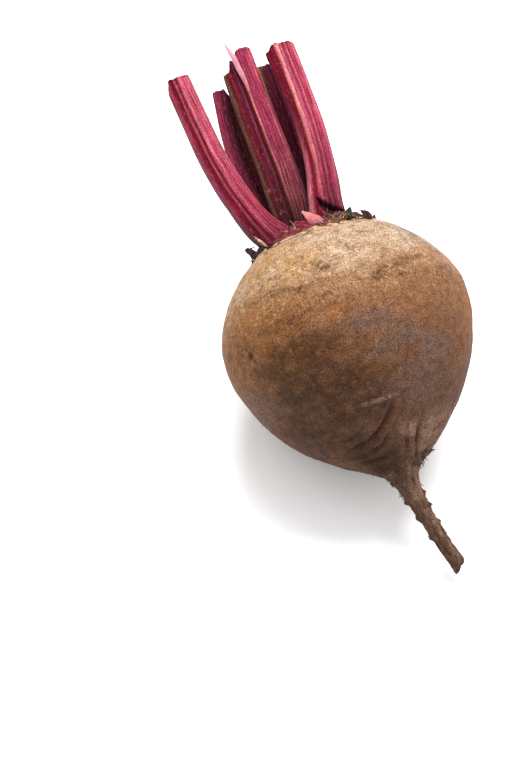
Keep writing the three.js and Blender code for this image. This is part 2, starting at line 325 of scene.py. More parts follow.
stumps = []
for direction, height, length, radius in ROOTLETS:
    bpy.ops.mesh.primitive_cone_add(
        vertices=10, radius1=radius * MM, radius2=radius * 0.45 * MM, depth=(length + 1.4) * MM,
        location=on_root(direction, height), rotation=(0, math.pi / 2 - 0.3, math.radians(direction)),
    )
    stumps.append(bpy.context.object)
bpy.ops.object.select_all(action="DESELECT")
for piece in stumps + [root]:
    piece.select_set(True)
bpy.context.view_layer.objects.active = root
bpy.ops.object.join()
finish_modifier("REMESH", mode="VOXEL", voxel_size=SKIN_MESH, adaptivity=0)
finish_modifier("SMOOTH", factor=0.5, iterations=4)

# Furrows of the skin, each with its depth and half-width in mm, how much it is darkened by soil and painted
# shade, and its points as (direction, height).
FURROWS = [
    (1.2, 0.5, 1.0, [(306, -32), (304, -34.9), (302, -37.5), (302, -40.9), (307, -44.3), (320, -46.6),
                     (338, -47.8)]),
    (1.3, 0.8, 1.0, [(282, -28.5), (276, -32.7), (267, -35.5), (255, -37.5), (239, -38.2), (224, -38.6)]),
    (1.2, 0.7, 1.0, [(276, -36.2), (267, -38.9), (254, -40.5), (237, -40.8), (222, -40.4)]),
    (1.0, 0.6, 1.0, [(268, -41.4), (255, -43.1), (239, -42.8), (224, -42.1)]),
    (0.6, 0.5, 0.6, [(291, -38), (289, -41), (286, -44.5)]),
    (0.6, 0.5, 0.7, [(258, -33.4), (246, -35.2), (234, -36)]),
    (0.1, 0.35, 0.28, [(224, 15.8), (232, 13.6), (240, 13.1), (246, 12), (252, 10.2), (259, 10.6),
                       (267, 11.4)]),
    (0.4, 0.45, 0.7, [(334, -37.2), (333, -39.8)]),
    # Painted shadow under the peeled lip of the rim, sunk a little as a furrow.
    (0.35, 0.35, 0.7, [(246, 27.5), (258, 27.9), (268, 28.2), (278, 28.2), (288, 27.9)]),
    (0.1, 0.35, 0.28, [(212, 14.2), (222, 12), (232, 10.2), (243, 8.4)]),
    (0.14, 0.4, 0.45, [(247, -7.6), (253, -11), (262, -15.6), (271, -18.2)]),
    (0.1, 0.35, 0.4, [(276, -23.5), (286, -24.6), (297, -23.8)]),
    (0.35, 0.4, 0.9, [(313.4, 2.4), (312.6, -0.8)]),
    (0.25, 0.4, 0.7, [(312, -2), (311.4, -5), (310, -9.4)]),
    (0.3, 0.6, 0.4, [(318, -30), (322, -35), (330, -40), (336, -43)]),
    (0.5, 0.6, 0.5, [(120, -34), (128, -39), (140, -43.5)]),
    (0.45, 0.6, 0.5, [(20, -36), (14, -40.5), (8, -44.5)]),
    (0.4, 0.6, 0.4, [(66, -35), (76, -40), (92, -43.5)]),
    (0.4, 0.6, 0.4, [(176, -34), (182, -39.5), (196, -43)]),
    (0.2, 0.4, 0.4, [(150, 4), (146, -2), (148, -6)]),
]
# Scars and pits of side roots and scuffs: direction, height, depth and radius in mm, and darkness.
PITS = [
    (219, -2.4, 0.45, 1.2, 1.0),
    (333, -38.8, 0.1, 0.8, 0.8),
    (240, -42.5, 0.0, 6.5, 0.6),
    (262, -43.0, 0.0, 4.5, 0.5),
    (249, -46.0, 0.1, 3.4, 0.9),
    (266, -47.6, 0.1, 2.6, 0.8),
    (230, -45.6, 0.1, 2.6, 0.9),
    (221, -4.5, 0.2, 0.7, 0.7),
    (289.6, 6.9, 0.3, 1.9, 0.5),
    (286, 6.6, 0.2, 0.7, 0.6),
    (267.4, 16.8, 0.2, 0.7, 0.9),
    (269.4, 14.6, 0.2, 0.75, 0.9),
    (264.8, 15.4, 0.15, 0.55, 0.9),
    (266.6, 14.2, 0.1, 0.45, 0.8),
    (272.2, 16.2, 0.1, 0.45, 0.7),
    (304, 9.0, 0.15, 1.1, 0.5),
    (308, 8.6, 0.15, 0.8, 0.5),
    (317, 10.6, 0.2, 1.2, 0.7),
    (322, 3.4, 0.2, 0.6, 0.8),
    (241, 10.4, 0.15, 0.8, 0.4),
    (249, 2.2, 0.2, 0.7, 0.5),
    (262, 0.4, 0.15, 0.6, 0.4),
    (334, -5, 0.2, 0.7, 0.5),
    (338, 12, 0.3, 1.0, 0.8),
    (98, 2, 0.4, 1.2, 0.7),
    (20, -10, 0.35, 1.0, 0.6),
    (150, 16, 0.35, 1.2, 0.7),
    (60, -22, 0.4, 1.0, 0.6),
    (180, 8, 0.25, 1.4, 0.4),
]
# Broad patches of the skin: tint, direction, height, and radius along and across in mm. Most lie where the
# cork is thin or scuffed; the dark ones low on the front left are painted shade, and the pale ones low on the
# front right are partly painted light.
PATCHES = [
    ("purple", 279, -5, 9, 4.5),
    ("purple", 294, -12, 8, 4),
    ("purple", 309, -17, 9, 5),
    ("purple", 282, -15, 6, 3),
    ("purple", 296, -26, 12, 6),
    ("purple", 200, -18, 12, 7),
    ("purple", 342, 22, 12, 7),
    ("purple", 110, -14, 13, 7),
    ("purple", 40, -20, 12, 6),
    ("gold", 222, 22, 24, 9),
    ("gold", 250, 18, 14, 6),
    ("gold", 190, 20, 20, 9),
    ("gold", 218, 11, 18, 7),
    ("ochre", 214, 4, 19, 11),
    ("ochre", 342, -9, 6, 12),
    ("ochre", 240, 4, 14, 8),
    ("ochre", 236, -6, 14, 9),
    ("ochre", 267, -0.4, 6, 3),
    ("ochre", 272, -17.6, 7, 3),
    ("ochre", 336, -20, 6, 8),
    ("ochre", 150, 2, 20, 14),
    ("ochre", 80, -2, 12, 5),
    ("dark_and_shaded", 246, -6, 13, 4),
    ("dark_and_shaded", 228, -10, 9, 5),
    ("dark_and_shaded", 240, -16, 15, 10),
    ("dark_and_shaded", 262, -20, 11, 8),
    ("dark_and_shaded", 222, -30, 16, 12),
    ("dark_and_shaded", 246, -28, 12, 10),
    ("dark_and_shaded", 248, -44, 9, 7),
    ("dark_and_shaded", 264, -28, 11, 6),
    ("dark_and_shaded", 244, -38, 9, 7),
    ("dark_and_shaded", 130, -38, 14, 8),
    ("pale", 330, -40, 8, 8),
    ("pale", 316, -39, 5, 6),
    ("pale", 273, -27.7, 6, 0.6),
    ("pale", 336, -48, 6, 5),
    ("pale", 340, -54, 6, 7),
    ("pale", 296, -37, 4, 5),
    ("pale", 330, -64, 4, 6),
    ("pale", 60, -40, 9, 10),
    ("brown", 212, 0, 9, 3),
    ("brown", 232, 13.4, 8, 1.3),
    ("brown", 247, 11.6, 7, 1.2),
    ("brown", 257, 10.4, 9, 1.4),
    ("brown", 268, 15.6, 3.5, 1.8),
    ("brown", 300, 8.2, 9, 3.6),
    ("brown", 290, 7, 5, 2.4),
    ("brown", 300, 9.8, 8, 2.2),
    ("brown", 314, 10.8, 7, 1.2),
    ("brown", 330, 5, 6, 1.8),
    ("brown", 346, 12, 6, 1.2),
    ("brown", 335, -19, 5, 5),
    ("brown", 246, 2, 12, 2),
    ("brown", 258, -10, 12, 3),
    ("brown", 60, 12, 16, 1.8),
    ("brown", 120, 9, 15, 2),
    ("brown", 170, 12, 14, 1.8),
    ("brown", 15, 3, 12, 1.6),
]


def near_line(places, line):
    """Each place's distance to a line of points, and how far along the line it is, from 0 to 1."""
    points = np.array(line)
    lengths = np.linalg.norm(np.diff(points, axis=0), axis=1)
    before = np.concatenate([[0], np.cumsum(lengths)]) / lengths.sum()
    nearest = np.full(len(places), np.inf)
    progress = np.zeros(len(places))
    for at, start in enumerate(points[:-1]):
        reach = points[at + 1] - start
        share = np.clip((places - start) @ reach / (reach @ reach), 0, 1)
        distance = np.linalg.norm(places - start - share[:, None] * reach, axis=1)
        closer = distance < nearest
        nearest[closer] = distance[closer]
        progress[closer] = before[at] + share[closer] * (before[at + 1] - before[at])
    return nearest, progress


skin = read_vectors(root, "co")
skin_normals = read_vectors(root, "normal")
height_mm = skin[:, 2] / MM
on_tail = np.clip((TAIL_START - height_mm) / 6, 0, 1)
on_bulb = 1 - on_tail
middle_x, middle_y = middle_at(skin[:, 2])
turn = np.arctan2(skin[:, 1] - middle_y, skin[:, 0] - middle_x)
wander = wavy(skin, 2.5, 4.5)
soft = wavy(skin, 5, 8.3)
relief = 0.32 * wavy(skin, 15, 3.1) + 0.17 * wavy(skin, 6, 7.7) + 0.08 * wander
relief += 0.05 * wavy(skin, 1.1, 5.9)
relief *= on_bulb
# Fine creases run round the shoulder, and wrinkles gather lengthwise towards the tail.
upper = np.clip((height_mm + 4) / 8, 0, 1) * np.clip((29 - height_mm) / 4, 0, 1)
relief -= 0.12 * upper * np.clip(wavy(skin, 2.0, 9.2, (4, 4, 1)) - 0.1, 0, 1)
gather = np.clip((-24 - height_mm) / 16, 0, 1) * on_bulb
wrinkle_place = np.stack([np.cos(turn) * 9, np.sin(turn) * 9, height_mm / 14], axis=1) * MM
wrinkles = np.clip(wavy(wrinkle_place, 1.1, 2.4), 0, 1)
relief -= 0.45 * gather * wrinkles
tail_place = np.stack([np.cos(turn) * 2.2, np.sin(turn) * 2.2, height_mm / 7], axis=1) * MM
tail_grain = wavy(tail_place, 0.8, 4.4)
relief += on_tail * (0.36 * tail_grain + 0.26 * wavy(skin, 1.5, 8.1))
# The tail is darkened by soil and painted shade, most on its side turned away from the lamp, and the wrinkles
# by soil and painted shade in their creases.
side_away_from_lamp = np.clip(0.2 - np.cos(turn - math.radians(20)) + 0.5 * wander, 0, 1)
soil_and_shade = 0.25 * gather * wrinkles + on_tail * (0.6 * np.clip(-tail_grain, 0, 1) + 0.35 * side_away_from_lamp)
for depth, half_width, dirt_and_shade, line in FURROWS:
    distance, progress = near_line(skin, [on_root(direction, height) for direction, height in line])
    distance = np.abs(distance / MM + 0.45 * wander)
    fade = np.sqrt(np.clip(np.sin(math.pi * progress), 0, 1)) * (0.75 + 0.5 * soft)
    valley = np.exp(-((distance / half_width) ** 2))
    banks = np.exp(-(((distance - 2.3 * half_width) / (1.3 * half_width)) ** 2))
    relief += depth * fade * (0.3 * banks - valley)
    soil_and_shade = np.maximum(soil_and_shade, dirt_and_shade * fade * np.exp(-((distance / (0.9 * half_width)) ** 2)))
for direction, height, depth, radius, dark_and_shaded in PITS:
    distance = np.linalg.norm(skin - np.array(on_root(direction, height)), axis=1) / MM
    hollow = np.exp(-(((distance + 0.5 * wander) / radius) ** 4))
    relief -= depth * hollow
    soil_and_shade = np.maximum(soil_and_shade, 0.8 * dark_and_shaded * hollow)
for direction, height, _, _ in ROOTLETS:
    distance = np.linalg.norm(skin - np.array(on_root(direction, height)), axis=1) / MM
    soil_and_shade = np.maximum(soil_and_shade, 0.8 * np.exp(-((distance / 1.4) ** 2)))
# The skin is painted dark along its edge, where it runs in under the crown.
soil_and_shade = np.maximum(soil_and_shade, 0.75 * np.clip((height_mm - SKIN_EDGE + 0.5 * wander) / 0.7, 0, 1))
tints = {tint: np.zeros(len(skin)) for tint in ("purple", "brown", "ochre", "dark_and_shaded", "pale", "gold")}
for tint, direction, height, along, across in PATCHES:
    centre = on_root(direction, height)
    aside = np.hypot(skin[:, 0] - centre.x, skin[:, 1] - centre.y) / MM
    away = np.hypot(aside / along, (height_mm - height) / across) + 0.55 * soft + 0.3 * wander
    tints[tint] = np.maximum(tints[tint], np.clip(1.35 - away, 0, 1))
set_places(root, skin + skin_normals * (relief * MM)[:, None])
paint(root, "soil_and_shade", np.clip(soil_and_shade, 0, 1))
for tint, amounts in tints.items():
    paint(root, tint, amounts)
paint(root, "tail", on_tail)
cut_side = height_mm - tail_end[1] - TAIL_CUT_SLOPE * (skin[:, 0] / MM - tail_end[2])
paint(root, "cut", np.clip((0.9 - cut_side) / 0.6, 0, 1))

# Dry beetroot skin: a thin layer of cork cells that flakes and holds soil. It gives no shine, a pale-and-dark
# grain nearly half a millimetre across, broken brown rings at the shoulder and purple-grey patches below.
GRAIN = 0.4  # in mm; the real grain is finer, and is drawn this coarse so that it shows
skin_material, tree, shader = new_material(
    "dry_corky_beet_skin", {"Roughness": 0.7, "Specular IOR Level": 0.1},
)
place = upright_place(tree)
height = add_node(tree, "ShaderNodeSeparateXYZ", {"Vector": place}).outputs["Z"]
cloud = add_node(tree, "ShaderNodeTexNoise", {"Vector": place, "Scale": 1 / (14 * MM), "Detail": 4})
drift = add_node(
    tree, "ShaderNodeMath", {0: cloud.outputs[0], 1: 18 * MM, 2: height}, operation="MULTIPLY_ADD",
)
level = by_height(tree, drift.outputs[0], -41, 39)
# The tone pales from the tail up to the shoulder. Its darkest stops are partly painted shade and its palest
# partly painted sheen; the rest is the skin's own colour.
tone = add_node(
    tree, "ShaderNodeValToRGB", {"Fac": level},
    ramp=[(0.0, "#4A3529"), (0.15, "#513729"), (0.3, "#523728"), (0.45, "#60412C"), (0.6, "#6E4B33"),
          (0.68, "#6E4C33"), (0.75, "#7F5D42"), (0.84, "#927B66"), (1.0, "#96836F")],
).outputs["Color"]
amounts = {}
for tint in ("gold", "ochre", "purple", "brown", "dark_and_shaded", "pale", "tail", "soil_and_shade", "cut"):
    amounts[tint] = add_node(tree, "ShaderNodeAttribute", {}, attribute_name=tint).outputs["Fac"]
on_shoulder = by_height(tree, height, -6, 16)
towards_tail = by_height(tree, height, -14, -40)
tone = flecks(tree, tone, place, 3, 0.3, 0.5, "#906D46", 0.85, (2, 2, 1), amounts["gold"])
tone = flecks(tree, tone, place, 3, 0.3, 0.5, "#744925", 0.85, (2, 2, 1), amounts["ochre"])
tone = flecks(tree, tone, place, 1.2, 0.26, 0.6, "#594742", 0.84, (1.5, 1.5, 1), amounts["purple"])
# Painted shade low on the front left, in the dark patches.
tone = flecks(tree, tone, place, 2, 0.2, 0.46, "#2D1D11", 0.77, (1.5, 1.5, 1), amounts["dark_and_shaded"])
# Pale patches, partly painted light low on the front right.
tone = flecks(tree, tone, place, 2, 0.3, 0.5, "#7A5F50", 0.75, (1, 1, 2), amounts["pale"])
tone = flecks(tree, tone, place, 5, 0.5, 0.7, "#5E3F28", 0.5)
tone = flecks(tree, tone, place, 1.4, 0.36, 0.6, "#472A18", 0.75, (3, 3, 1), amounts["brown"])
tone = flecks(tree, tone, place, 1.1, 0.53, 0.68, "#5A3B25", 0.5, (2.4, 2.4, 1), on_shoulder)
tone = flecks(tree, tone, place, 1.0, 0.54, 0.7, "#B89C78", 0.55, (1.2, 1.2, 1), on_shoulder)
tone = flecks(tree, tone, place, 0.9, 0.52, 0.68, "#2C1E17", 0.6, (1, 1, 5), towards_tail)
tone = flecks(tree, tone, place, 0.7, 0.48, 0.62, "#775D4F", 0.55, (1, 1, 7), amounts["tail"])
tone = flecks(tree, tone, place, 0.8, 0.58, 0.7, "#351D0E", 0.65)
coarse = add_node(tree, "ShaderNodeTexNoise", {"Vector": place, "Scale": 1 / (2.4 * MM), "Detail": 4})
tone = shaded(tree, tone, coarse.outputs[0], (0.82, 0.72, 0.62), (1.2, 1.27, 1.32))
grain = add_node(
    tree, "ShaderNodeTexNoise", {"Vector": place, "Scale": 1 / (GRAIN * MM), "Detail": 2, "Roughness": 0.7},
)
tone = shaded(tree, tone, grain.outputs[0], (0.36, 0.17, 0.05), (1.66, 1.84, 1.94))
# Soil and painted shade in the furrows, pits and wrinkles, and along the edge under the crown.
tone = lay_over(tree, tone, amounts["soil_and_shade"], "#261307")
tone = lay_over(tree, tone, amounts["cut"], "#4A1A28")
tree.links.new(tone, shader.inputs["Base Color"])
roughen(tree, shader, grain.outputs[0], 0.8, 0.2)
lay_back(root, "root_skin", skin_material)
# The weight of the beetroot presses its belly flat where it lies.
bpy.ops.object.mode_set(mode="EDIT")
bpy.ops.mesh.select_all(action="SELECT")
bpy.ops.mesh.bisect(plane_co=(0, 0, 0), plane_no=(0, 0, 1), use_fill=True, clear_inner=True,
                    threshold=0.000001)
bpy.ops.object.mode_set(mode="OBJECT")
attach(root, "root")
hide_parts("root")

# ---------------------------------------------------------------- root hairs
# Fine dry side roots stand in tufts where the bulb becomes the tail, and a few along the tail. Each is a thin
# tapered strand that curls as it dried.

# Tufts: direction, height, number of strands, their length in mm, and spread in degrees and mm.
HAIR_TUFTS = [
    (342, -45.0, 18, 2.2, 14, 1.6),
    (352, -47.6, 10, 1.8, 20, 1.0),
    (214, -46.6, 14, 1.9, 20, 1.8),
    (205, -50.4, 12, 1.6, 18, 1.6),
    (196, -54.5, 8, 1.3, 20, 2.2),
    (2, -52.6, 4, 1.8, 8, 0.6),
    (10, -57.5, 5, 1.1, 20, 1.5),
    (250, -45.4, 10, 1.6, 26, 1.2),
    (90, -46.0, 14, 2.0, 40, 2.0),
    (140, -52.0, 9, 1.6, 40, 3.0),
    (30, -70.0, 6, 1.0, 60, 6.0),
    (190, -66.0, 9, 1.0, 30, 8.0),
]
STRAND_SIDES = 5
STRAND_TAPER = 0.82  # how wide each ring is beside the one before it


def grow_strand(foot, direction, length, radius, curl, steps):
    """Extrudes a thin tapered strand from a foot, turning a little at each step."""
    start_ring(STRAND_SIDES, radius, (0, 0, 0))
    bpy.ops.object.mode_set(mode="OBJECT")
    strand = bpy.context.object
    turned = Vector(direction).to_track_quat("Z", "Y").to_matrix()
    set_places(strand, read_vectors(strand, "co") @ np.array(turned.transposed()) + np.array(foot))
    bpy.ops.object.mode_set(mode="EDIT")
    bpy.ops.mesh.select_all(action="SELECT")
    place = Vector(foot)
    heading = Vector(direction).normalized()
    for _ in range(steps):
        move = heading * (length / steps)
        place = place + move
        next_ring(move, STRAND_TAPER, place)
        heading = (heading + curl / steps).normalized()
    close_rings(STRAND_SIDES)
    return strand


def join_pieces(pieces):
    """Joins pieces into the first one."""
    bpy.ops.object.select_all(action="DESELECT")
    for piece in pieces:
        piece.select_set(True)
    bpy.context.view_layer.objects.active = pieces[0]
    bpy.ops.object.join()
    return bpy.context.object


def mottled(tree, place, size, detail, ramp):
    """A tone that wanders between colour stops, in patches of a size in mm."""
    patches = add_node(
        tree, "ShaderNodeTexNoise", {"Vector": place, "Scale": 1 / (size * MM), "Detail": detail},
    )
    return add_node(
        tree, "ShaderNodeValToRGB", {"Fac": patches.outputs[0]}, ramp=ramp,
    ).outputs["Color"]


chance = random.Random(5)
strands = []
for direction, height, count, length, spread, drop in HAIR_TUFTS:
    for _ in range(count):
        angle = direction + chance.uniform(-spread, spread)
        foot = on_root(angle, height + chance.uniform(-drop, drop))
        turn = math.radians(angle)
        heading = Vector((math.cos(turn), math.sin(turn), chance.uniform(-2.2, 0.2)))
        heading += Vector((chance.uniform(-0.9, 0.9), chance.uniform(-0.9, 0.9), 0))
        curl = Vector((chance.uniform(-1.4, 1.4), chance.uniform(-1.4, 1.4), chance.uniform(-2.2, 0.4)))
        strands.append(grow_strand(
            foot - heading.normalized() * 0.5 * MM, heading, length * chance.uniform(0.5, 1.15) * MM,
            chance.uniform(0.16, 0.32) * MM, curl, steps=6))
hairs = join_pieces(strands)

# Dried root hair: dead fibre with soil on it. It gives a dull dark brown.
hair_material, tree, shader = new_material("dried_root_fibre", {"Roughness": 0.85})
place = upright_place(tree)
tone = mottled(tree, place, 2, 2, [(0.35, "#1D1410"), (0.55, "#3A281E"), (0.7, "#5E4634")])
tree.links.new(tone, shader.inputs["Base Color"])
lay_back(hairs, "root_hairs", hair_material)
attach(hairs, "root")

# ---------------------------------------------------------------- crown
# The crown is the short stem that the leaves grew from: moist magenta flesh, raised into collars round the
# feet of the stalks and wrinkled across where older leaves were pulled off.

CROWN_SIDES = 64
# Rings from the rim to the middle, in mm: radius and height.
CROWN_RINGS = [
    (18.4, 29.0), (19.5, 29.8), (19.0, 31.0), (17.2, 32.0),
    (14.6, 33.0), (11.5, 34.0), (7.0, 35.2), (3.0, 35.8),
]
# The feet of the stalks, in mm: x, y and radius.
FEET = [(-10.8, -6.4, 6.4), (-8.0, 8.6, 4.6), (-3.6, 1.6, 5.2), (4.4, 10.8, 4.8), (6.2, -4.8, 6.0)]
TEAR_AT, TEAR_REACH = 252, 30  # the fresh tear's direction and its reach to each side, in degrees
CROWN_MESH = 0.35 * MM  # edge length of the finished mesh

start_ring(CROWN_SIDES, CROWN_RINGS[0][0] * MM, (0, 0, CROWN_RINGS[0][1] * MM))
for (last_radius, last_height), (radius, height) in zip(CROWN_RINGS, CROWN_RINGS[1:]):
    next_ring((0, 0, (height - last_height) * MM), radius / last_radius, (0, 0, height * MM))
close_rings(CROWN_SIDES)
crown = bpy.context.object
finish_modifier("SUBSURF", levels=1, render_levels=1)
finish_modifier("REMESH", mode="VOXEL", voxel_size=CROWN_MESH, adaptivity=0)
finish_modifier("SMOOTH", factor=0.5, iterations=3)
flesh = read_vectors(crown, "co")
flesh_normals = read_vectors(crown, "normal")
turn = np.arctan2(flesh[:, 1], flesh[:, 0])
out_mm = np.hypot(flesh[:, 0], flesh[:, 1]) / MM
top = np.clip((flesh[:, 2] / MM - 30.6) / 0.8, 0, 1)
scars = np.stack([np.cos(turn) * 10, np.sin(turn) * 10, out_mm], axis=1) * MM
lift = 0.6 * wavy(flesh, 4, 2.2) + 0.5 * wavy(scars, 1.4, 6.1, (3, 3, 1)) + 0.25 * wavy(flesh, 1.2, 3.9)
flesh += flesh_normals * (lift * MM)[:, None]
collar = np.zeros(len(flesh))
for x, y, radius in FEET:
    away = np.hypot(flesh[:, 0] / MM - x, flesh[:, 1] / MM - y)
    collar = np.maximum(collar, np.exp(-(((away - radius) / 1.5) ** 2)))
flesh[:, 2] += top * collar * 0.9 * MM
set_places(crown, flesh)
# The low hollows of the flesh are painted with shade.
paint(crown, "hollow_shade", np.clip(-lift * 1.2, 0, 1))
# Only the front left is torn open. Elsewhere the remains of withered leaves hide the flesh.
off_tear = np.abs((np.degrees(turn) - TEAR_AT + 180) % 360 - 180)
withered = np.clip((off_tear - TEAR_REACH) / 8 + wavy(flesh, 3, 7.4), 0, 1) * np.clip((out_mm - 9) / 4, 0, 1)
paint(crown, "withered", withered)

# Moist beet flesh, torn open: deep magenta with painted shade in its hollows and paler torn ridges, brown and
# fibrous where old leaves withered on it. It gives a faint wet glint.
flesh_material, tree, shader = new_material(
    "moist_magenta_beet_flesh", {"Specular IOR Level": 0.15},
)
place = upright_place(tree)
height = add_node(tree, "ShaderNodeSeparateXYZ", {"Vector": place}).outputs["Z"]
tone = mottled(
    tree, place, 3, 4, [(0.32, "#1E020A"), (0.45, "#460216"), (0.56, "#680424"), (0.7, "#862640")],
)
near_rim = by_height(tree, height, 31.0, 29.8)
tone = flecks(tree, tone, place, 2.0, 0.42, 0.58, "#96604A", 0.9, (1.6, 1.6, 1), near_rim)
tone = flecks(tree, tone, place, 1.2, 0.55, 0.7, "#7A5A3E", 0.6)
rot = mottled(
    tree, place, 1.4, 4, [(0.38, "#140907"), (0.52, "#321A13"), (0.64, "#5C382B"), (0.76, "#8E684E")],
)
rotted = add_node(tree, "ShaderNodeAttribute", {}, attribute_name="withered").outputs["Fac"]
tone = add_node(tree, "ShaderNodeMix", {0: rotted, 6: tone, 7: rot}, data_type="RGBA").outputs[2]
dry = add_node(tree, "ShaderNodeMapRange", {"Value": rotted, "To Min": 0.4, "To Max": 0.9}).outputs[0]
tree.links.new(dry, shader.inputs["Roughness"])
hollow_shade = add_node(tree, "ShaderNodeAttribute", {}, attribute_name="hollow_shade").outputs["Fac"]
tone = lay_over(tree, tone, hollow_shade, "#1C040B")
tree.links.new(tone, shader.inputs["Base Color"])
grain = add_node(tree, "ShaderNodeTexNoise", {"Vector": place, "Scale": 1 / (0.7 * MM), "Detail": 3})
roughen(tree, shader, grain.outputs[0], 0.7, 0.3)
lay_back(crown, "crown_flesh", flesh_material)
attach(crown, "root")
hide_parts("crown")

# ---------------------------------------------------------------- torn rim of the skin
# Where the crown leaves the root, the skin ends in a thin dry edge that is torn all the way round. It peels
# up most at the front, where the swelling crown split it.

RIM_SIDES = 160
# Rings of the peel from its foot on the shoulder to its edge, in mm: radius and height.
RIM_RINGS = [(21.4, SKIN_EDGE), (20.8, 28.9), (20.3, 29.4), (19.9, 29.9)]
PEEL_AT, PEEL_REACH = 270, 14  # where the edge peels up most and its reach to each side, in degrees

start_ring(RIM_SIDES, RIM_RINGS[0][0] * MM, (0, 0, RIM_RINGS[0][1] * MM))
for (last_radius, last_height), (radius, height) in zip(RIM_RINGS, RIM_RINGS[1:]):
    next_ring((0, 0, (height - last_height) * MM), radius / last_radius, (0, 0, height * MM))
bpy.ops.mesh.select_all(action="SELECT")
bpy.ops.mesh.normals_make_consistent(inside=False)
bpy.ops.object.mode_set(mode="OBJECT")
rim = bpy.context.object
edge = read_vectors(rim, "co")
turn = np.arctan2(edge[:, 1], edge[:, 0])
ring_share = np.arange(len(edge)) // RIM_SIDES / (len(RIM_RINGS) - 1)
around = np.stack([np.cos(turn) * 20, np.sin(turn) * 20, ring_share], axis=1) * MM
off_peel = np.abs((np.degrees(turn) - PEEL_AT + 180) % 360 - 180)
raised = 0.3 + 1.4 * np.exp(-((off_peel / PEEL_REACH) ** 2)) + 0.5 * np.clip(wavy(around, 9, 5.2), 0, 1)
curl = raised * (0.9 * wavy(around, 3.6, 1.5) + 0.2 * wavy(around, 1.1, 7.5) + 0.5) - 0.35
outwards = np.stack([np.cos(turn), np.sin(turn), np.zeros(len(turn))], axis=1)
edge += outwards * (ring_share ** 2 * 0.7 * curl * MM)[:, None]
edge[:, 2] += ring_share * 0.8 * curl * MM
set_places(rim, edge)
finish_modifier("SOLIDIFY", thickness=0.3 * MM, offset=0)
finish_modifier("SUBSURF", levels=1, render_levels=1)

# Peeled beet skin: paper-thin dry cork. It gives a pale tan edge, browner where it is torn.
peel_material, tree, shader = new_material("peeled_dry_beet_skin", {"Roughness": 0.7})
place = upright_place(tree)
tone = mottled(
    tree, place, 1.5, 4, [(0.35, "#4E3220"), (0.47, "#8A664A"), (0.6, "#A88464"), (0.72, "#BA9A78")],
)
grain = add_node(tree, "ShaderNodeTexNoise", {"Vector": place, "Scale": 1 / (GRAIN * MM), "Detail": 2})
tone = shaded(tree, tone, grain.outputs[0], (0.75, 0.7, 0.65), (1.25, 1.25, 1.25))
tree.links.new(tone, shader.inputs["Base Color"])
lay_back(rim, "peeled_skin_rim", peel_material)
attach(rim, "root")

# ---------------------------------------------------------------- old leaf bases
# Leaves that were pulled off or rotted left withered stubs round the edge of the crown. Each is a short bowed
# blade of dried stalk flesh, dark brown, olive or maroon, and still grows from the crown.

# Blades, foot to tip: the way the face looks in degrees, width and thickness in mm, how green and how maroon,
# and points as x, y, z in mm and the share of the width there.
STUBS = [
    (205, 3.9, 1.9, 0, 0.2, [(-18.4, -8.5, 27.4, 1), (-19.4, -7.8, 29.4, 1), (-20.2, -6.8, 31.0, 1),
                             (-21.0, -6.0, 32.2, 0.9), (-21.2, -5.6, 33.2, 0.35)]),
    (290, 1.6, 1.1, 0, 0.2, [(-20.8, -6.2, 32.2, 1), (-19.4, -7.0, 32.7, 0.9), (-18.4, -7.4, 32.2, 0.35)]),
    (200, 1.7, 1.1, 0, 0.2, [(-19.4, -9.0, 26.6, 1), (-20.6, -8.9, 27.8, 0.8), (-21.4, -8.6, 28.9, 0.3)]),
    (214, 4.4, 1.2, 0, 0, [(-16.9, -11.0, 28.0, 1), (-17.2, -11.3, 29.6, 0.8), (-17.4, -11.0, 30.8, 0.3)]),
    (226, 4.6, 1.1, 0, 0.2, [(-14.0, -14.2, 27.9, 1), (-14.5, -14.6, 28.9, 0.9), (-14.5, -14.5, 29.9, 0.4)]),
    (238, 4.4, 0.8, 0, 0.3, [(-10.9, -16.8, 28.0, 1), (-11.2, -17.1, 28.8, 0.8), (-11.2, -17.0, 29.4, 0.4)]),
    (296, 3.0, 1.0, 0, 0, [(8.0, -18.0, 28.4, 1), (8.3, -18.3, 29.7, 0.8), (8.0, -18.0, 31.0, 0.3)]),
    (305, 3.6, 2.0, 1, 0, [(10.9, -16.4, 28.2, 1), (11.3, -16.9, 30.2, 1), (12.0, -16.8, 31.7, 0.85),
                           (12.9, -16.6, 33.2, 0.25)]),
    (312, 2.6, 1.0, 0.4, 0, [(13.6, -14.8, 28.2, 1), (14.0, -15.1, 29.6, 0.8), (14.4, -14.9, 30.8, 0.3)]),
    (316, 3.6, 0.9, 0, 0, [(15.1, -13.5, 27.7, 1), (15.5, -13.9, 28.6, 0.9), (15.5, -13.9, 29.3, 0.6)]),
    (325, 3.6, 2.2, 0.5, 0.6, [(17.1, -12.4, 26.6, 1), (17.8, -12.7, 28.7, 1), (17.6, -12.9, 30.2, 0.9),
                               (16.9, -13.1, 31.2, 0.65), (15.8, -13.1, 32.0, 0.2)]),
    (332, 2.2, 1.2, 0, 0, [(19.0, -10.2, 26.5, 1), (19.4, -10.5, 27.2, 0.8), (19.4, -10.5, 27.8, 0.4)]),
]
# Round the back the stubs stand at these directions, in degrees.
BACK_STUBS = (346, 2, 20, 38, 58, 74, 92, 110, 126, 146, 164, 182)


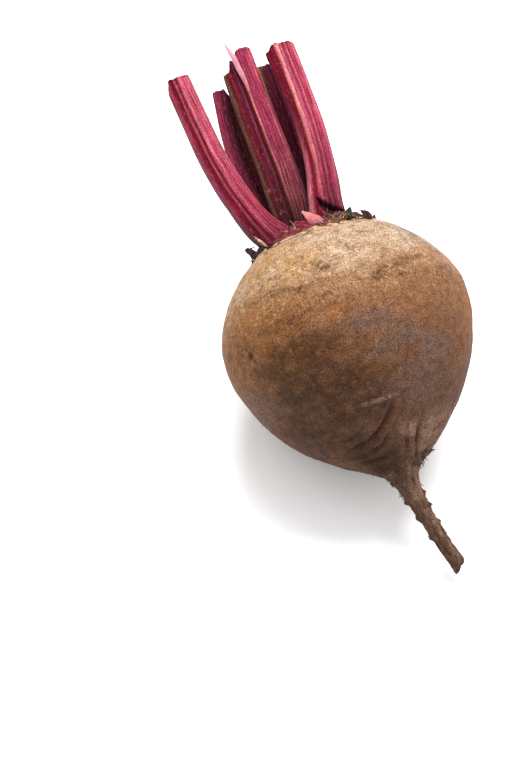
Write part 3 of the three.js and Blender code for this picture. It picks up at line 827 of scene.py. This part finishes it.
def grow_blade(facing, width, thickness, green, maroon, points):
    """Extrudes a bowed flat blade along its points and roughens it."""
    sides = 12
    start_ring(sides, 1, (0, 0, 0))
    bpy.ops.object.mode_set(mode="OBJECT")
    blade = bpy.context.object
    turns = np.arange(sides) / sides * 2 * math.pi
    out = math.radians(facing)
    outwards = np.array([math.cos(out), math.sin(out), 0])
    across = np.array([-math.sin(out), math.cos(out), 0])
    bow = thickness * (np.sin(turns) / 2 - 0.35 * np.cos(turns) ** 2)
    outline = (width / 2 * np.cos(turns))[:, None] * across + bow[:, None] * outwards
    set_places(blade, (outline * points[0][3] + points[0][:3]) * MM)
    bpy.ops.object.mode_set(mode="EDIT")
    bpy.ops.mesh.select_all(action="SELECT")
    for (*start, share), (*end, next_share) in zip(points, points[1:]):
        centre = Vector(end) * MM
        next_ring(centre - Vector(start) * MM, next_share / share, centre)
    close_rings(sides)
    finish_modifier("SUBSURF", levels=2, render_levels=2)
    shape = read_vectors(blade, "co")
    rough = 0.16 * wavy(shape, 0.8, width) + 0.24 * wavy(shape, 0.8, thickness, (1, 1, 5))
    set_places(blade, shape + read_vectors(blade, "normal") * (rough * MM)[:, None])
    paint(blade, "green", np.full(len(shape), green))
    paint(blade, "maroon", np.full(len(shape), maroon))
    return blade


chance = random.Random(3)
blades = [grow_blade(*stub) for stub in STUBS]
for facing in BACK_STUBS:
    out = Vector((math.cos(math.radians(facing)), math.sin(math.radians(facing)), 0))
    tall = chance.uniform(1.6, 4.4)
    aside = Vector((-out.y, out.x, 0)) * chance.uniform(-1.4, 1.4)
    low, middle, high = out * 19.4, out * 20.2 + aside * 0.4, out * chance.uniform(20.0, 21.2) + aside
    blades.append(grow_blade(
        facing, chance.uniform(2.6, 5), chance.uniform(1, 1.6),
        chance.choice((0, 0, 0.8)), chance.choice((0, 0.3, 1)),
        [(low.x, low.y, 28.0, 1), (middle.x, middle.y, 28.6 + tall / 2, 0.9),
         (high.x, high.y, 28.6 + tall, 0.3)]))
stubs = join_pieces(blades)

# Withered leaf base: rotted and dried stalk. It gives near-black brown with olive and maroon parts, and a
# dull glint on the folds.
stub_material, tree, shader = new_material(
    "withered_leaf_base", {"Roughness": 0.7, "Specular IOR Level": 0.1},
)
place = upright_place(tree)
tone = mottled(
    tree, place, 1.6, 4, [(0.35, "#110A09"), (0.5, "#281B17"), (0.62, "#4A3831"), (0.75, "#7A675A")],
)
green = add_node(tree, "ShaderNodeAttribute", {}, attribute_name="green").outputs["Fac"]
maroon = add_node(tree, "ShaderNodeAttribute", {}, attribute_name="maroon").outputs["Fac"]
tone = flecks(tree, tone, place, 2.5, 0.3, 0.5, "#12180A", 0.85, where=green)
tone = flecks(tree, tone, place, 2.5, 0.3, 0.5, "#3C0E1A", 0.85, where=maroon)
tree.links.new(tone, shader.inputs["Base Color"])
grain = add_node(tree, "ShaderNodeTexNoise", {"Vector": place, "Scale": 1 / (0.5 * MM), "Detail": 3})
roughen(tree, shader, grain.outputs[0], 0.7, 0.25)
lay_back(stubs, "withered_leaf_bases", stub_material)
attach(stubs, "root")

# ---------------------------------------------------------------- torn flesh
# A fleshy flap was torn up at the front of the crown when a leaf was pulled off, and a pale sliver at the cut
# end of the middle stalk when the knife left it hanging. Both are flesh without skin that narrows to a tip.

flap = grow_blade(276, 5.6, 1.4, 0, 0, [
    (2.6, -17.6, 30.0, 1), (2.1, -17.3, 31.8, 1), (1.2, -16.2, 33.6, 0.8), (0.1, -15.2, 35.3, 0.45),
    (-1.6, -14.0, 37.3, 0.08)])
sliver = grow_blade(285, 2.0, 0.9, 0, 0, [
    (-2.6, 0.3, 68, 0.4), (-3.5, -0.4, 75, 0.6), (-4.2, -1.3, 82, 0.75), (-4.9, -2.0, 88, 1),
    (-5.7, -2.4, 92.6, 1), (-6.4, -2.4, 95.6, 0.75), (-7.0, -2.2, 97.4, 0.5), (-6.7, -2.2, 98.4, 0.2)])

# Freshly torn beet flesh with no skin on it. It gives a moist pink, deeper at the crown and paler where the
# sliver has dried.
flap_material, tree, shader = new_material(
    "torn_pale_beet_flesh", {"Roughness": 0.45, "Specular IOR Level": 0.3},
)
place = upright_place(tree)
tone = mottled(tree, place, 2, 4, [(0.35, "#93404C"), (0.5, "#AA605E"), (0.65, "#B87870")])
height = add_node(tree, "ShaderNodeSeparateXYZ", {"Vector": place}).outputs["Z"]
tone = lay_over(tree, tone, by_height(tree, height, 34.5, 31, 0.8), "#6E1030")
tone = lay_over(tree, tone, by_height(tree, height, 78, 94, 0.75), "#C48E9A")
tree.links.new(tone, shader.inputs["Base Color"])
lay_back(flap, "torn_flap", flap_material)
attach(flap, "root")
lay_back(sliver, "torn_sliver", flap_material)
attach(sliver, "root")

# ---------------------------------------------------------------- flake of skin
# A narrow flake of dry skin stands at the outer side of the left stalk's foot. It is the same cork as the
# torn rim, and was lifted off the shoulder as the stalk thickened.

flake = grow_blade(235, 1.3, 0.5, 0, 0, [
    (-14.9, -13.6, 29.8, 0.7), (-15.9, -13.0, 31.6, 1), (-17.0, -12.1, 33.4, 0.8), (-17.8, -11.2, 35.0, 0.2)])
lay_back(flake, "torn_skin_flake", peel_material)
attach(flake, "root")

# ---------------------------------------------------------------- papery fibres
# As old leaf bases rot and dry, they fray into fibres as thin as paper. Tufts of them are rooted in the edge
# of the crown, most of them at the front between the stalks.

# Tufts: the middle of their feet as x, y and z, how many strands, and their length, in mm.
FIBRES = [
    (2.6, -19.4, 29.8, 9, 3.4), (5.4, -18.8, 29.6, 12, 4.0), (8.1, -17.8, 29.4, 12, 4.0),
    (7.0, -17.4, 30.4, 8, 3.2), (8.6, -17.4, 29.8, 14, 3.4), (12.6, -15.6, 29.2, 5, 2.4),
    (-6.4, -14.4, 32.2, 10, 3.4), (-1.0, -18.8, 30.6, 4, 2.6), (13, 14.6, 30.4, 8, 3.6),
    (-13, 14.6, 30.4, 7, 3.4), (0, 19.6, 30.2, 6, 3.0), (19.4, 2, 29.8, 6, 2.8),
]
chance = random.Random(11)
strands = []
for x, y, z, count, length in FIBRES:
    for _ in range(count):
        aside = Vector((chance.uniform(-1.6, 1.6), chance.uniform(-0.5, 0.5), chance.uniform(-0.8, 0.8)))
        foot = (Vector((x, y, z)) + aside) * MM
        heading = Vector((chance.uniform(-1.2, 1.2), chance.uniform(-0.6, 0.4), chance.uniform(-0.3, 0.9)))
        curl = Vector((chance.uniform(-3, 3), chance.uniform(-2, 2), chance.uniform(-2.5, 1.5)))
        strands.append(grow_strand(foot, heading, length * chance.uniform(0.5, 1.2) * MM,
                                   chance.uniform(0.14, 0.3) * MM, curl, steps=8))
fibres = join_pieces(strands)

# Papery fibre: what is left of a dried leaf base. It gives straw and brown threads.
fibre_material, tree, shader = new_material("papery_leaf_fibre", {"Roughness": 0.65})
place = upright_place(tree)
tone = mottled(tree, place, 1.5, 2, [(0.35, "#3A1E14"), (0.5, "#7E5138"), (0.68, "#B8946C")])
tree.links.new(tone, shader.inputs["Base Color"])
lay_back(fibres, "papery_fibres", fibre_material)
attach(fibres, "root")

# ---------------------------------------------------------------- leaf stalks
# Five leaf stalks were cut short with a knife. Each is a thick crescent of watery flesh with ribs down its
# back and a channel down its inner side, and it clasps the crown with a broader foot.

STALK_SIDES = 48
STALK_RINGS = 29
STALK_TAPER = 0.13
FLARE_LENGTH = 9 * MM
CUT_INSETS = (0.88, 0.6, 0.3)  # the rings that close the cut end, each as a share of the one before
# The tints of the thin skin, from the pale crests of the ribs to the dark furrows. The pale tint of the
# crests is partly a painted highlight, and the near-black tint is painted shadow where the stalks crowd.
TINTS = {
    "pale": "#A24C5A", "salmon": "#A2544E", "rose": "#8A2A3E", "mauve": "#6E2236", "crimson": "#62091C",
    "wine": "#400818", "black": "#22060A", "magenta": "#8A2A44", "plum": "#4C1428", "olive": "#54402A",
    "straw": "#90802E", "dusty": "#8E5258", "brown": "#431F1C", "blush": "#B8686C",
    "clay": "#703C3C", "garnet": "#52061C",
}
# Lengths are in mm and turns in degrees. line runs up the middle. out is the way that the ribs face, channel
# is how deep the channel is and channel_at how far it is turned, and flare widens the foot. cut is how far
# the cut end rises, from left to right. toe is the way that the foot spreads over the crown, how far, how
# high up it starts and how far it drops. ear is how far the left margin stands out at the cut end, and slit
# is a crack across the front of the foot, as x and z, sunk and painted with shadow. Each band is a turn round
# the section, how far it stands out, and its tints at the cut end and at the foot.
STALKS = {
    "stalk_left": {
        "line": [(-10.8, -6.4, 31.2), (-15.3, -7.1, 38.7), (-18.2, -7.3, 46.5), (-22.1, -7.6, 62.5),
                 (-25.2, -7.9, 90)],
        "width": 10.6, "thickness": 8.4, "out": 222, "channel": 0.26, "channel_at": 12, "flare": 0.2,
        "cut": [(-4.4, -3.6), (-2.6, 0.6), (5, 0)],
        "slot": "stalk_rose", "toe": (292, 3.6, 8, 1.6), "ear": 0, "slit": [],
        "bands": [
            (10, 0.1, "mauve", "wine"), (30, -0.1, "wine", "wine"), (50, 0.0, "wine", "wine"),
            (66, 0.1, "mauve", "plum"), (84, 0.15, "rose", "mauve"), (97, -0.05, "crimson", "crimson"),
            (108, -0.3, "crimson", "crimson"), (114, 0.0, "rose", "mauve"), (118, 0.2, "pale", "rose"),
            (122, -0.1, "crimson", "crimson"), (129, -0.35, "crimson", "crimson"), (134, 0.1, "pale", "rose"),
            (139, 0.35, "pale", "rose"), (146, 0.15, "pale", "rose"), (155, 0.1, "rose", "mauve"),
            (160, -0.12, "rose", "crimson"), (165, 0.2, "pale", "rose"), (172, -0.1, "rose", "crimson"),
            (182, 0.1, "pale", "rose"), (190, -0.05, "rose", "crimson"), (198, 0.1, "dusty", "rose"),
            (210, 0.1, "dusty", "mauve"),
            (228, 0.0, "dusty", "mauve"), (245, -0.1, "rose", "crimson"), (262, 0.1, "rose", "mauve"),
            (282, -0.1, "crimson", "crimson"), (302, 0.1, "rose", "mauve"), (325, -0.15, "crimson", "wine"),
            (345, 0.1, "rose", "mauve"),
        ],
    },
    "stalk_back_left": {
        "line": [(-8.0, 8.6, 31.2), (-10.6, 9.8, 44), (-12.4, 10.4, 57), (-12.7, 10.4, 70),
                 (-11.2, 10.0, 85)],
        "width": 11.2, "thickness": 6.8, "out": 120, "channel": 0.3, "channel_at": 0, "flare": 0.15,
        "cut": [(-4, 1.4), (-0.6, 1.8), (0.6, -0.4), (2.4, -2.4), (4, -2.6)],
        "slot": "stalk_purple", "toe": (90, 1, 6, 0.5), "ear": 0, "slit": [],
        "bands": [
            (0, 0.1, "plum", "plum"), (25, -0.15, "wine", "wine"), (45, 0.15, "mauve", "plum"),
            (65, -0.15, "plum", "wine"), (85, 0.15, "mauve", "plum"), (104, -0.1, "plum", "wine"),
            (120, 0.0, "mauve", "rose"), (140, 0.1, "mauve", "rose"), (156, -0.12, "mauve", "mauve"),
            (170, 0.15, "rose", "rose"), (182, -0.12, "mauve", "crimson"), (193, 0.15, "rose", "rose"),
            (203, -0.12, "mauve", "crimson"), (213, 0.1, "mauve", "crimson"), (224, -0.1, "plum", "wine"),
            # The near-black band at the cut end is painted shadow in the gap beside the middle stalk.
            (236, 0.1, "plum", "crimson"), (248, -0.05, "wine", "wine"), (262, 0.05, "black", "wine"),
            (280, 0.0, "brown", "wine"), (310, 0.0, "wine", "wine"), (335, 0.0, "wine", "wine"),
        ],
    },
    "stalk_middle": {
        "line": [(-3.6, 1.6, 31.2), (-4.0, 1.6, 44), (-4.1, 1.4, 57), (-4.8, 1.2, 73), (-5.4, 0.8, 92)],
        "width": 13.0, "thickness": 7.0, "out": 76, "channel": 0.44, "channel_at": -16, "flare": -0.25,
        "cut": [(-5.8, -2.6), (-3.2, -2.2), (-2.6, -0.6), (-1.8, 1.6), (-0.6, 0.6), (0.6, 2.8), (2, 3.4),
                (5, 3.0)],
        "slot": "stalk_crimson", "toe": (270, 0.6, 6, 0.4), "ear": 0, "slit": [],
        "bands": [
            (14, 0.0, "plum", "plum"), (34, 0.15, "magenta", "plum"), (52, -0.15, "crimson", "wine"),
            (70, 0.15, "magenta", "mauve"), (88, -0.15, "crimson", "wine"), (106, 0.15, "magenta", "mauve"),
            (124, -0.15, "crimson", "wine"), (142, 0.15, "magenta", "mauve"), (160, -0.15, "crimson", "wine"),
            (176, 0.1, "mauve", "brown"), (190, 0.0, "crimson", "brown"), (199, 0.1, "brown", "brown"),
            (205, 0.25, "olive", "olive"), (211, 0.0, "brown", "wine"), (220, 0.1, "crimson", "brown"),
            (232, -0.15, "wine", "wine"), (242, 0.1, "mauve", "brown"), (254, -0.15, "wine", "wine"),
            (266, 0.05, "crimson", "brown"), (276, -0.1, "brown", "brown"), (282, 0.15, "salmon", "brown"),
            (286, 0.25, "blush", "clay"), (290, 0.0, "magenta", "brown"), (295, 0.3, "magenta", "clay"),
            (300, 0.0, "mauve", "brown"), (306, 0.15, "magenta", "clay"), (312, -0.05, "mauve", "brown"),
            (320, 0.15, "magenta", "clay"),
            (327, -0.05, "rose", "brown"), (333, 0.25, "pale", "clay"), (340, 0.0, "rose", "brown"),
            (352, 0.1, "magenta", "plum"),
        ],
    },
    "stalk_back_right": {
        "line": [(4.4, 10.8, 31.2), (4.3, 11.4, 44), (4.2, 11.8, 58), (4.1, 11.8, 72), (4.0, 11.6, 90)],
        "width": 8.8, "thickness": 7.2, "out": 78, "channel": 0.3, "channel_at": 0, "flare": 0.15,
        "cut": [(-4, 1), (0, 0.6), (4, -1)],
        "slot": "stalk_purple", "toe": (90, 1, 6, 0.5), "ear": 0, "slit": [],
        "bands": [
            (12, 0.0, "wine", "wine"), (32, 0.15, "plum", "plum"), (52, -0.15, "wine", "wine"),
            (72, 0.15, "plum", "plum"), (92, -0.15, "wine", "wine"), (112, 0.15, "plum", "plum"),
            (132, -0.15, "wine", "wine"), (152, 0.15, "plum", "plum"), (172, 0.0, "olive", "wine"),
            # The near-black tints at the foot are painted shadow, where this stalk stands crowded behind the
            # others.
            (192, 0.1, "straw", "olive"), (215, 0.15, "straw", "black"), (228, 0.0, "olive", "black"),
            (240, 0.1, "wine", "black"), (255, -0.1, "wine", "black"), (270, 0.15, "plum", "black"),
            (285, -0.1, "wine", "black"), (300, 0.15, "plum", "wine"), (315, -0.1, "wine", "wine"),
            (330, 0.1, "plum", "wine"), (350, 0.0, "wine", "wine"),
        ],
    },
    "stalk_right": {
        "line": [(6.6, -4.8, 31.2), (7.4, -5.0, 39.8), (8.7, -5.0, 47.7), (9.9, -4.6, 65), (9.2, -4.0, 91)],
        "width": 10.8, "thickness": 8.8, "out": 318, "channel": 0.3, "channel_at": -10, "flare": 0.02,
        "cut": [(-4.4, -1.2), (-2.6, 0.8), (5, 0)],
        "slot": "stalk_rose", "toe": (205, 2.4, 26, 1.0), "ear": 1.3,
        "slit": [(4.4, 39.7), (5.1, 38.1), (6.0, 36.6), (7.4, 35.4), (9.2, 34.6), (11.6, 34.5)],
        "bands": [
            (6, -0.2, "garnet", "crimson"), (17, -0.15, "crimson", "crimson"),
            (22, 0.1, "salmon", "crimson"), (30, 0.35, "blush", "rose"), (36, 0.2, "blush", "mauve"),
            (40, -0.1, "rose", "crimson"),
            (46, 0.1, "pale", "mauve"), (52, 0.1, "rose", "wine"), (58, -0.2, "mauve", "wine"),
            (62, 0.0, "rose", "mauve"), (67, 0.15, "pale", "mauve"), (74, -0.25, "crimson", "wine"),
            (80, -0.1, "rose", "plum"), (92, 0.15, "rose", "mauve"), (101, 0.1, "pale", "rose"),
            (113, 0.05, "rose", "plum"), (132, 0.0, "dusty", "plum"), (150, -0.15, "mauve", "plum"),
            (168, 0.1, "rose", "mauve"), (186, -0.15, "crimson", "wine"), (204, 0.1, "rose", "mauve"),
            (225, -0.1, "crimson", "wine"), (260, -0.1, "crimson", "wine"), (288, 0.1, "rose", "mauve"),
            (312, 0.0, "wine", "rose"), (332, 0.1, "wine", "pale"), (345, 0.12, "crimson", "blush"),
            (356, -0.1, "crimson", "pale"),
        ],
    },
}


def smooth_line(points, count):
    """Evenly spaced places on a smooth curve through points, as an array."""
    points = np.array(points, dtype=float)
    padded = np.vstack([2 * points[0] - points[1], points, 2 * points[-1] - points[-2]])
    fine = []
    for before, start, end, after in zip(padded, padded[1:], padded[2:], padded[3:]):
        for share in np.linspace(0, 1, 40, endpoint=False):
            fine.append(0.5 * (2 * start + (end - before) * share
                               + (2 * before - 5 * start + 4 * end - after) * share ** 2
                               + (3 * start - before - 3 * end + after) * share ** 3))
    fine = np.array(fine + [points[-1]])
    travelled = np.concatenate([[0], np.cumsum(np.linalg.norm(np.diff(fine, axis=0), axis=1))])
    wanted = np.linspace(0, travelled[-1], count)
    return np.stack([np.interp(wanted, travelled, fine[:, axis]) for axis in range(3)], axis=1)


def stalk_outline(stalk):
    """One ring about its middle in mm: a crescent whose channel is on the inner side."""
    turns = np.arange(STALK_SIDES) / STALK_SIDES * 2 * math.pi
    inner = turns + math.pi / 2 - math.radians(stalk["channel_at"])
    inner = np.arctan2(np.sin(inner), np.cos(inner))
    reach = 1 - stalk["channel"] * 1.5 * np.exp(-((inner / 0.62) ** 2))
    out = math.radians(stalk["out"])
    back = np.array([math.cos(out), math.sin(out), 0])
    across = np.array([math.sin(out), -math.cos(out), 0])
    wide = (reach * stalk["width"] / 2 * np.cos(turns))[:, None] * across
    deep = (reach * stalk["thickness"] / 2 * np.sin(turns))[:, None] * back
    return wide + deep


def store_straight(piece, stalk, length):
    """Stores where each vertex would be on a straight stalk, and which of them close the cut end."""
    order = np.arange(STALK_SIDES * (STALK_RINGS + len(CUT_INSETS)))
    ring = np.minimum(order // STALK_SIDES, STALK_RINGS - 1)
    inwards = np.maximum(order // STALK_SIDES - STALK_RINGS + 1, 0)
    radius = np.cumprod((1,) + CUT_INSETS)[inwards]
    angle = (order % STALK_SIDES) / STALK_SIDES * 2 * math.pi
    straight = np.stack([
        np.cos(angle) * stalk["width"] / 2 * radius,
        np.sin(angle) * stalk["thickness"] / 2 * radius,
        ring / (STALK_RINGS - 1) * length / MM,
    ], axis=1) * MM
    piece.data.attributes.new("straight", "FLOAT_VECTOR", "POINT").data.foreach_set(
        "vector", straight.astype(np.float32).ravel())
    paint(piece, "cut", np.minimum(inwards, 1))


def grow_stalk(stalk):
    """Extrudes one stalk ring by ring from its foot and closes it: the piece, its line and its length."""
    line = smooth_line(stalk["line"], STALK_RINGS) * MM
    length = np.linalg.norm(np.diff(line, axis=0), axis=1).sum()
    ring_at = np.linspace(0, 1, STALK_RINGS)
    flare = 1 + stalk["flare"] * np.exp(-((ring_at * length / FLARE_LENGTH) ** 2))
    scales = (1 - STALK_TAPER * ring_at) * flare
    start_ring(STALK_SIDES, 1, (0, 0, 0))
    bpy.ops.object.mode_set(mode="OBJECT")
    piece = bpy.context.object
    set_places(piece, line[0] + stalk_outline(stalk) * scales[0] * MM)
    bpy.ops.object.mode_set(mode="EDIT")
    bpy.ops.mesh.select_all(action="SELECT")
    lean_x = lean_y = 0
    for at in range(1, STALK_RINGS):
        tangent = line[min(at + 1, STALK_RINGS - 1)] - line[at - 1]
        settled = min(1, at / (STALK_RINGS - 1) * 5)
        new_x = settled * math.atan2(tangent[0], tangent[2])
        new_y = settled * math.atan2(-tangent[1], tangent[2])
        next_ring(line[at] - line[at - 1], scales[at] / scales[at - 1], line[at])
        bpy.ops.transform.rotate(value=lean_x - new_x, orient_axis="Y", center_override=line[at])
        bpy.ops.transform.rotate(value=lean_y - new_y, orient_axis="X", center_override=line[at])
        lean_x, lean_y = new_x, new_y
    for inset in CUT_INSETS:
        next_ring((0, 0, -0.15 * MM), inset, line[-1])
    close_rings(STALK_SIDES)
    store_straight(piece, stalk, length)
    finish_modifier("SUBSURF", levels=2, render_levels=2)
    return piece, line, length


def read_attribute(piece, name, kind, width):
    """A stored attribute as an array with a row for each vertex."""
    values = np.empty(len(piece.data.vertices) * width)
    piece.data.attributes[name].data.foreach_get(kind, values)
    return values.reshape(-1, width)


def rib_height(stalk, angle, along, height_mm):
    """How far the wall stands out in mm, from the bands, fine ribs and the margin at the cut end."""
    bands = sorted(stalk["bands"])
    stand = np.interp(angle, [band[0] for band in bands], [band[1] for band in bands], period=360)
    around = np.radians(angle)
    fine = np.stack([np.cos(around) * 5, np.sin(around) * 5, height_mm / 16], axis=1) * MM
    stand += 0.14 * wavy(fine, 0.6, 3.3) + 0.06 * wavy(fine, 0.3, 6.2)
    margin = np.exp(-((((angle + 25 + 180) % 360 - 180) / 40) ** 2)) * np.clip((along - 0.7) / 0.25, 0, 1)
    return stand + stalk["ear"] * margin


def spread_foot(shape, stalk, foot, height_mm):
    """Draws the foot out over the crown to one side."""
    way, spread, start, drop = stalk["toe"]
    aside = shape[:, :2] - foot[:2]
    facing = np.arctan2(aside[:, 1], aside[:, 0]) - math.radians(way)
    toe = np.clip(1 - height_mm / start, 0, 1) ** 1.4 * np.clip(np.cos(facing) + 0.1, 0, 1) ** 0.8
    toe *= 1 + 0.35 * wavy(shape, 1.6, 9.1, (1, 1, 3))
    shape[:, :2] += aside / np.linalg.norm(aside, axis=1)[:, None] * (toe * spread * MM)[:, None]
    shape[:, 2] -= toe * drop * MM


def slope_cut_end(shape, stalk, line, below_cut):
    """Gives the cut end its slope from left to right and its ragged edge."""
    offset = (shape[:, 0] - line[-1][0]) / MM
    rise = np.interp(offset, [place for place, _ in stalk["cut"]], [lift for _, lift in stalk["cut"]])
    ragged = 0.5 * wavy(shape, 1.3, 3.7) + 0.25 * wavy(shape, 0.5, 1.7)
    upwards = (line[-1] - line[-2]) / np.linalg.norm(line[-1] - line[-2])
    near_end = np.clip((below_cut + 4.5) / 4.5, 0, 1)
    shape += ((rise * near_end + ragged * near_end ** 4) * MM)[:, None] * upwards


def band_tints(stalk, angle, along):
    """The tints of the bands, those of the foot below and those of the cut end above."""
    bands = sorted(stalk["bands"])
    turns = [band[0] for band in bands]
    colour_at = {name: linear(tint)[:3] for name, tint in TINTS.items()}
    # The tints of the foot have given way to those of the cut end by two thirds of the way up.
    share = np.clip(1.8 * along - 0.12, 0, 1) ** 1.2
    tints = np.ones((len(angle), 4))
    for channel in range(3):
        at_cut = np.interp(angle, turns, [colour_at[band[2]][channel] for band in bands], period=360)
        at_foot = np.interp(angle, turns, [colour_at[band[3]][channel] for band in bands], period=360)
        tints[:, channel] = at_foot + (at_cut - at_foot) * share
    return tints


def open_slit(shape, normals, tints, stalk, foot):
    """Sinks the crack across the front of the foot and paints shadow into it."""
    away, progress = near_line(shape[:, [0, 2]], np.array(stalk["slit"]) * MM)
    half_width = (0.5 + 0.9 * np.sin(math.pi * progress)) * MM
    crack_and_shadow = np.exp(-((away / half_width) ** 4)) * (shape[:, 1] < foot[1])
    shape -= normals * (1.8 * crack_and_shadow * MM)[:, None]
    # Painted shadow in the crack.
    tints[:, :3] *= (1 - 0.96 * crack_and_shadow)[:, None]


def rib_and_tint(piece, stalk, line, length):
    """Raises the ribs, spreads the foot, tears the cut end, and stores the tints of the bands."""
    shape = read_vectors(piece, "co")
    normals = read_vectors(piece, "normal")
    straight = read_attribute(piece, "straight", "vector", 3) / MM
    cut = read_attribute(piece, "cut", "value", 1)[:, 0]
    height_mm = straight[:, 2]
    along = np.clip(height_mm * MM / length, 0, 1)
    below_cut = height_mm - length / MM
    side_wall = 1 - np.clip(cut * 4, 0, 1)
    sway = np.stack([height_mm / 9, np.zeros(len(along)), np.zeros(len(along))], axis=1) * MM
    angle = np.degrees(np.arctan2(straight[:, 1] / stalk["thickness"], straight[:, 0] / stalk["width"]))
    angle = (angle + 3 * wavy(sway, 1, stalk["out"])) % 360
    shape += normals * (rib_height(stalk, angle, along, height_mm) * side_wall * MM)[:, None]
    spread_foot(shape, stalk, line[0], height_mm)
    slope_cut_end(shape, stalk, line, below_cut)
    tints = band_tints(stalk, angle, along)
    if stalk["slit"]:
        open_slit(shape, normals, tints, stalk, line[0])
    # The last millimetre browned where the knife passed, and soil and shade darken the crowded feet.
    browned = np.clip(below_cut + 1.0, 0, 1) * 0.55
    tints[:, :3] *= (1 - browned * side_wall)[:, None]
    shade = 0.55 + 0.45 * np.clip((height_mm - 3) / 11, 0, 1)
    tints[:, :3] *= shade[:, None]
    set_places(piece, shape)
    piece.data.attributes.new("tint", "FLOAT_COLOR", "POINT").data.foreach_set(
        "color", tints.astype(np.float32).ravel())


# Fresh beet stalk: thin shiny skin over watery red flesh. The bands are rose on the ribs and crimson in the
# furrows, with streaks a third of a millimetre wide, and a satin glint runs along the ribs.
STREAK = 0.35
stalk_material, tree, shader = new_material(
    "fresh_beet_stalk", {"Roughness": 0.5, "Specular IOR Level": 0.07},
)
straight = add_node(tree, "ShaderNodeAttribute", {}, attribute_name="straight").outputs["Vector"]
tone = add_node(tree, "ShaderNodeAttribute", {}, attribute_name="tint").outputs["Color"]
drawn_out = add_node(tree, "ShaderNodeMapping", {"Vector": straight, "Scale": (1, 1, 0.05)}).outputs["Vector"]
streaks = add_node(tree, "ShaderNodeTexNoise", {"Vector": drawn_out, "Scale": 1 / (STREAK * MM), "Detail": 2})
tone = shaded(tree, tone, streaks.outputs[0], (0.5, 0.46, 0.5), (1.5, 1.6, 1.58))
dots = add_node(tree, "ShaderNodeTexNoise", {"Vector": straight, "Scale": 1 / (0.4 * MM), "Detail": 2})
tone = shaded(tree, tone, dots.outputs[0], (0.5, 0.4, 0.46), (1.5, 1.65, 1.6))
tone = flecks(tree, tone, straight, 0.7, 0.6, 0.72, "#A86468", 0.5, (1, 1, 3))
pith = add_node(tree, "ShaderNodeTexVoronoi", {"Vector": straight, "Scale": 1 / (1.1 * MM)})
pith_tone = add_node(
    tree, "ShaderNodeValToRGB", {"Fac": pith.outputs["Distance"]},
    ramp=[(0.0, "#6A1030"), (0.35, "#A05868"), (0.8, "#B88888")],
).outputs["Color"]
cut_amount = add_node(tree, "ShaderNodeAttribute", {}, attribute_name="cut").outputs["Fac"]
tone = add_node(tree, "ShaderNodeMix", {0: cut_amount, 6: tone, 7: pith_tone}, data_type="RGBA").outputs[2]
tree.links.new(tone, shader.inputs["Base Color"])
roughen(tree, shader, streaks.outputs[0], 0.6, 0.25)

for name, stalk in STALKS.items():
    piece, line, length = grow_stalk(stalk)
    rib_and_tint(piece, stalk, line, length)
    lay_back(piece, name + "_flesh", stalk_material)
    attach(piece, "root")
    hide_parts(name)

# ---------------------------------------------------------------- table, light and camera
# The beetroot lies on a white table in an evenly lit white room, under a large soft lamp that hangs above and
# behind it. The camera looks steeply down on it from the side of its tail.

bpy.ops.mesh.primitive_plane_add(size=6, location=(0, 0, 0))
table = bpy.context.object
table.name = "white_table"
# White laminate: a smooth pressed sheet. It gives an even matt white that takes a soft shadow.
table_material, tree, shader = new_material(
    "white_laminate", {"Roughness": 0.6, "Base Color": linear("#FAFAFA")},
)
table.data.materials.append(table_material)

world = bpy.data.worlds.new("white_studio")
bpy.context.scene.world = world
world.use_nodes = True
world.node_tree.nodes["Background"].inputs["Color"].default_value = (1, 1, 1, 1)
world.node_tree.nodes["Background"].inputs["Strength"].default_value = 1.15


def soft_lamp(name, place, size, power):
    """A square lamp that faces the beetroot."""
    light = bpy.data.lights.new(name, "AREA")
    light.shape = "SQUARE"
    light.size = size
    light.energy = power
    lamp = bpy.data.objects.new(name, light)
    lamp.location = place
    lamp.rotation_euler = (Vector(place) - Vector((0, 0, BULB_HEIGHT))).to_track_quat("Z", "Y").to_euler()
    bpy.context.scene.collection.objects.link(lamp)


soft_lamp("softbox_behind", place=(0.3, 0.5, 1.05), size=0.8, power=24)

CAMERA_TURN = math.radians(-20)  # to the left, from straight behind the tail
CAMERA_RISE = math.radians(56)  # above the table
CAMERA_DISTANCE = 0.9
IMAGE_WIDTH, IMAGE_HEIGHT = 515, 773
BULB_AT = (345, 329)  # where the middle of the bulb stands in the image, in pixels
PIXEL_AT_BULB = 0.31 * MM  # what one pixel covers at the bulb
AIM_HEIGHT = 39.6 * MM  # the height of the point of the bulb that stands there
SENSOR = 36

view = Vector((
    math.sin(CAMERA_TURN) * math.cos(CAMERA_RISE),
    -math.cos(CAMERA_TURN) * math.cos(CAMERA_RISE),
    math.sin(CAMERA_RISE),
))
turned = view.to_track_quat("Z", "Y")
off_middle = Vector((IMAGE_WIDTH / 2 - BULB_AT[0], BULB_AT[1] - IMAGE_HEIGHT / 2, 0)) * PIXEL_AT_BULB
aim = Vector((0, 0, AIM_HEIGHT)) + turned @ off_middle
camera_data = bpy.data.cameras.new("camera")
camera_data.sensor_width = SENSOR
camera_data.lens = SENSOR * CAMERA_DISTANCE / (IMAGE_HEIGHT * PIXEL_AT_BULB)
camera = bpy.data.objects.new("camera", camera_data)
camera.location = aim + view * CAMERA_DISTANCE
camera.rotation_euler = turned.to_euler()
bpy.context.scene.collection.objects.link(camera)
bpy.context.scene.camera = camera
bpy.context.scene.view_settings.view_transform = "Standard"
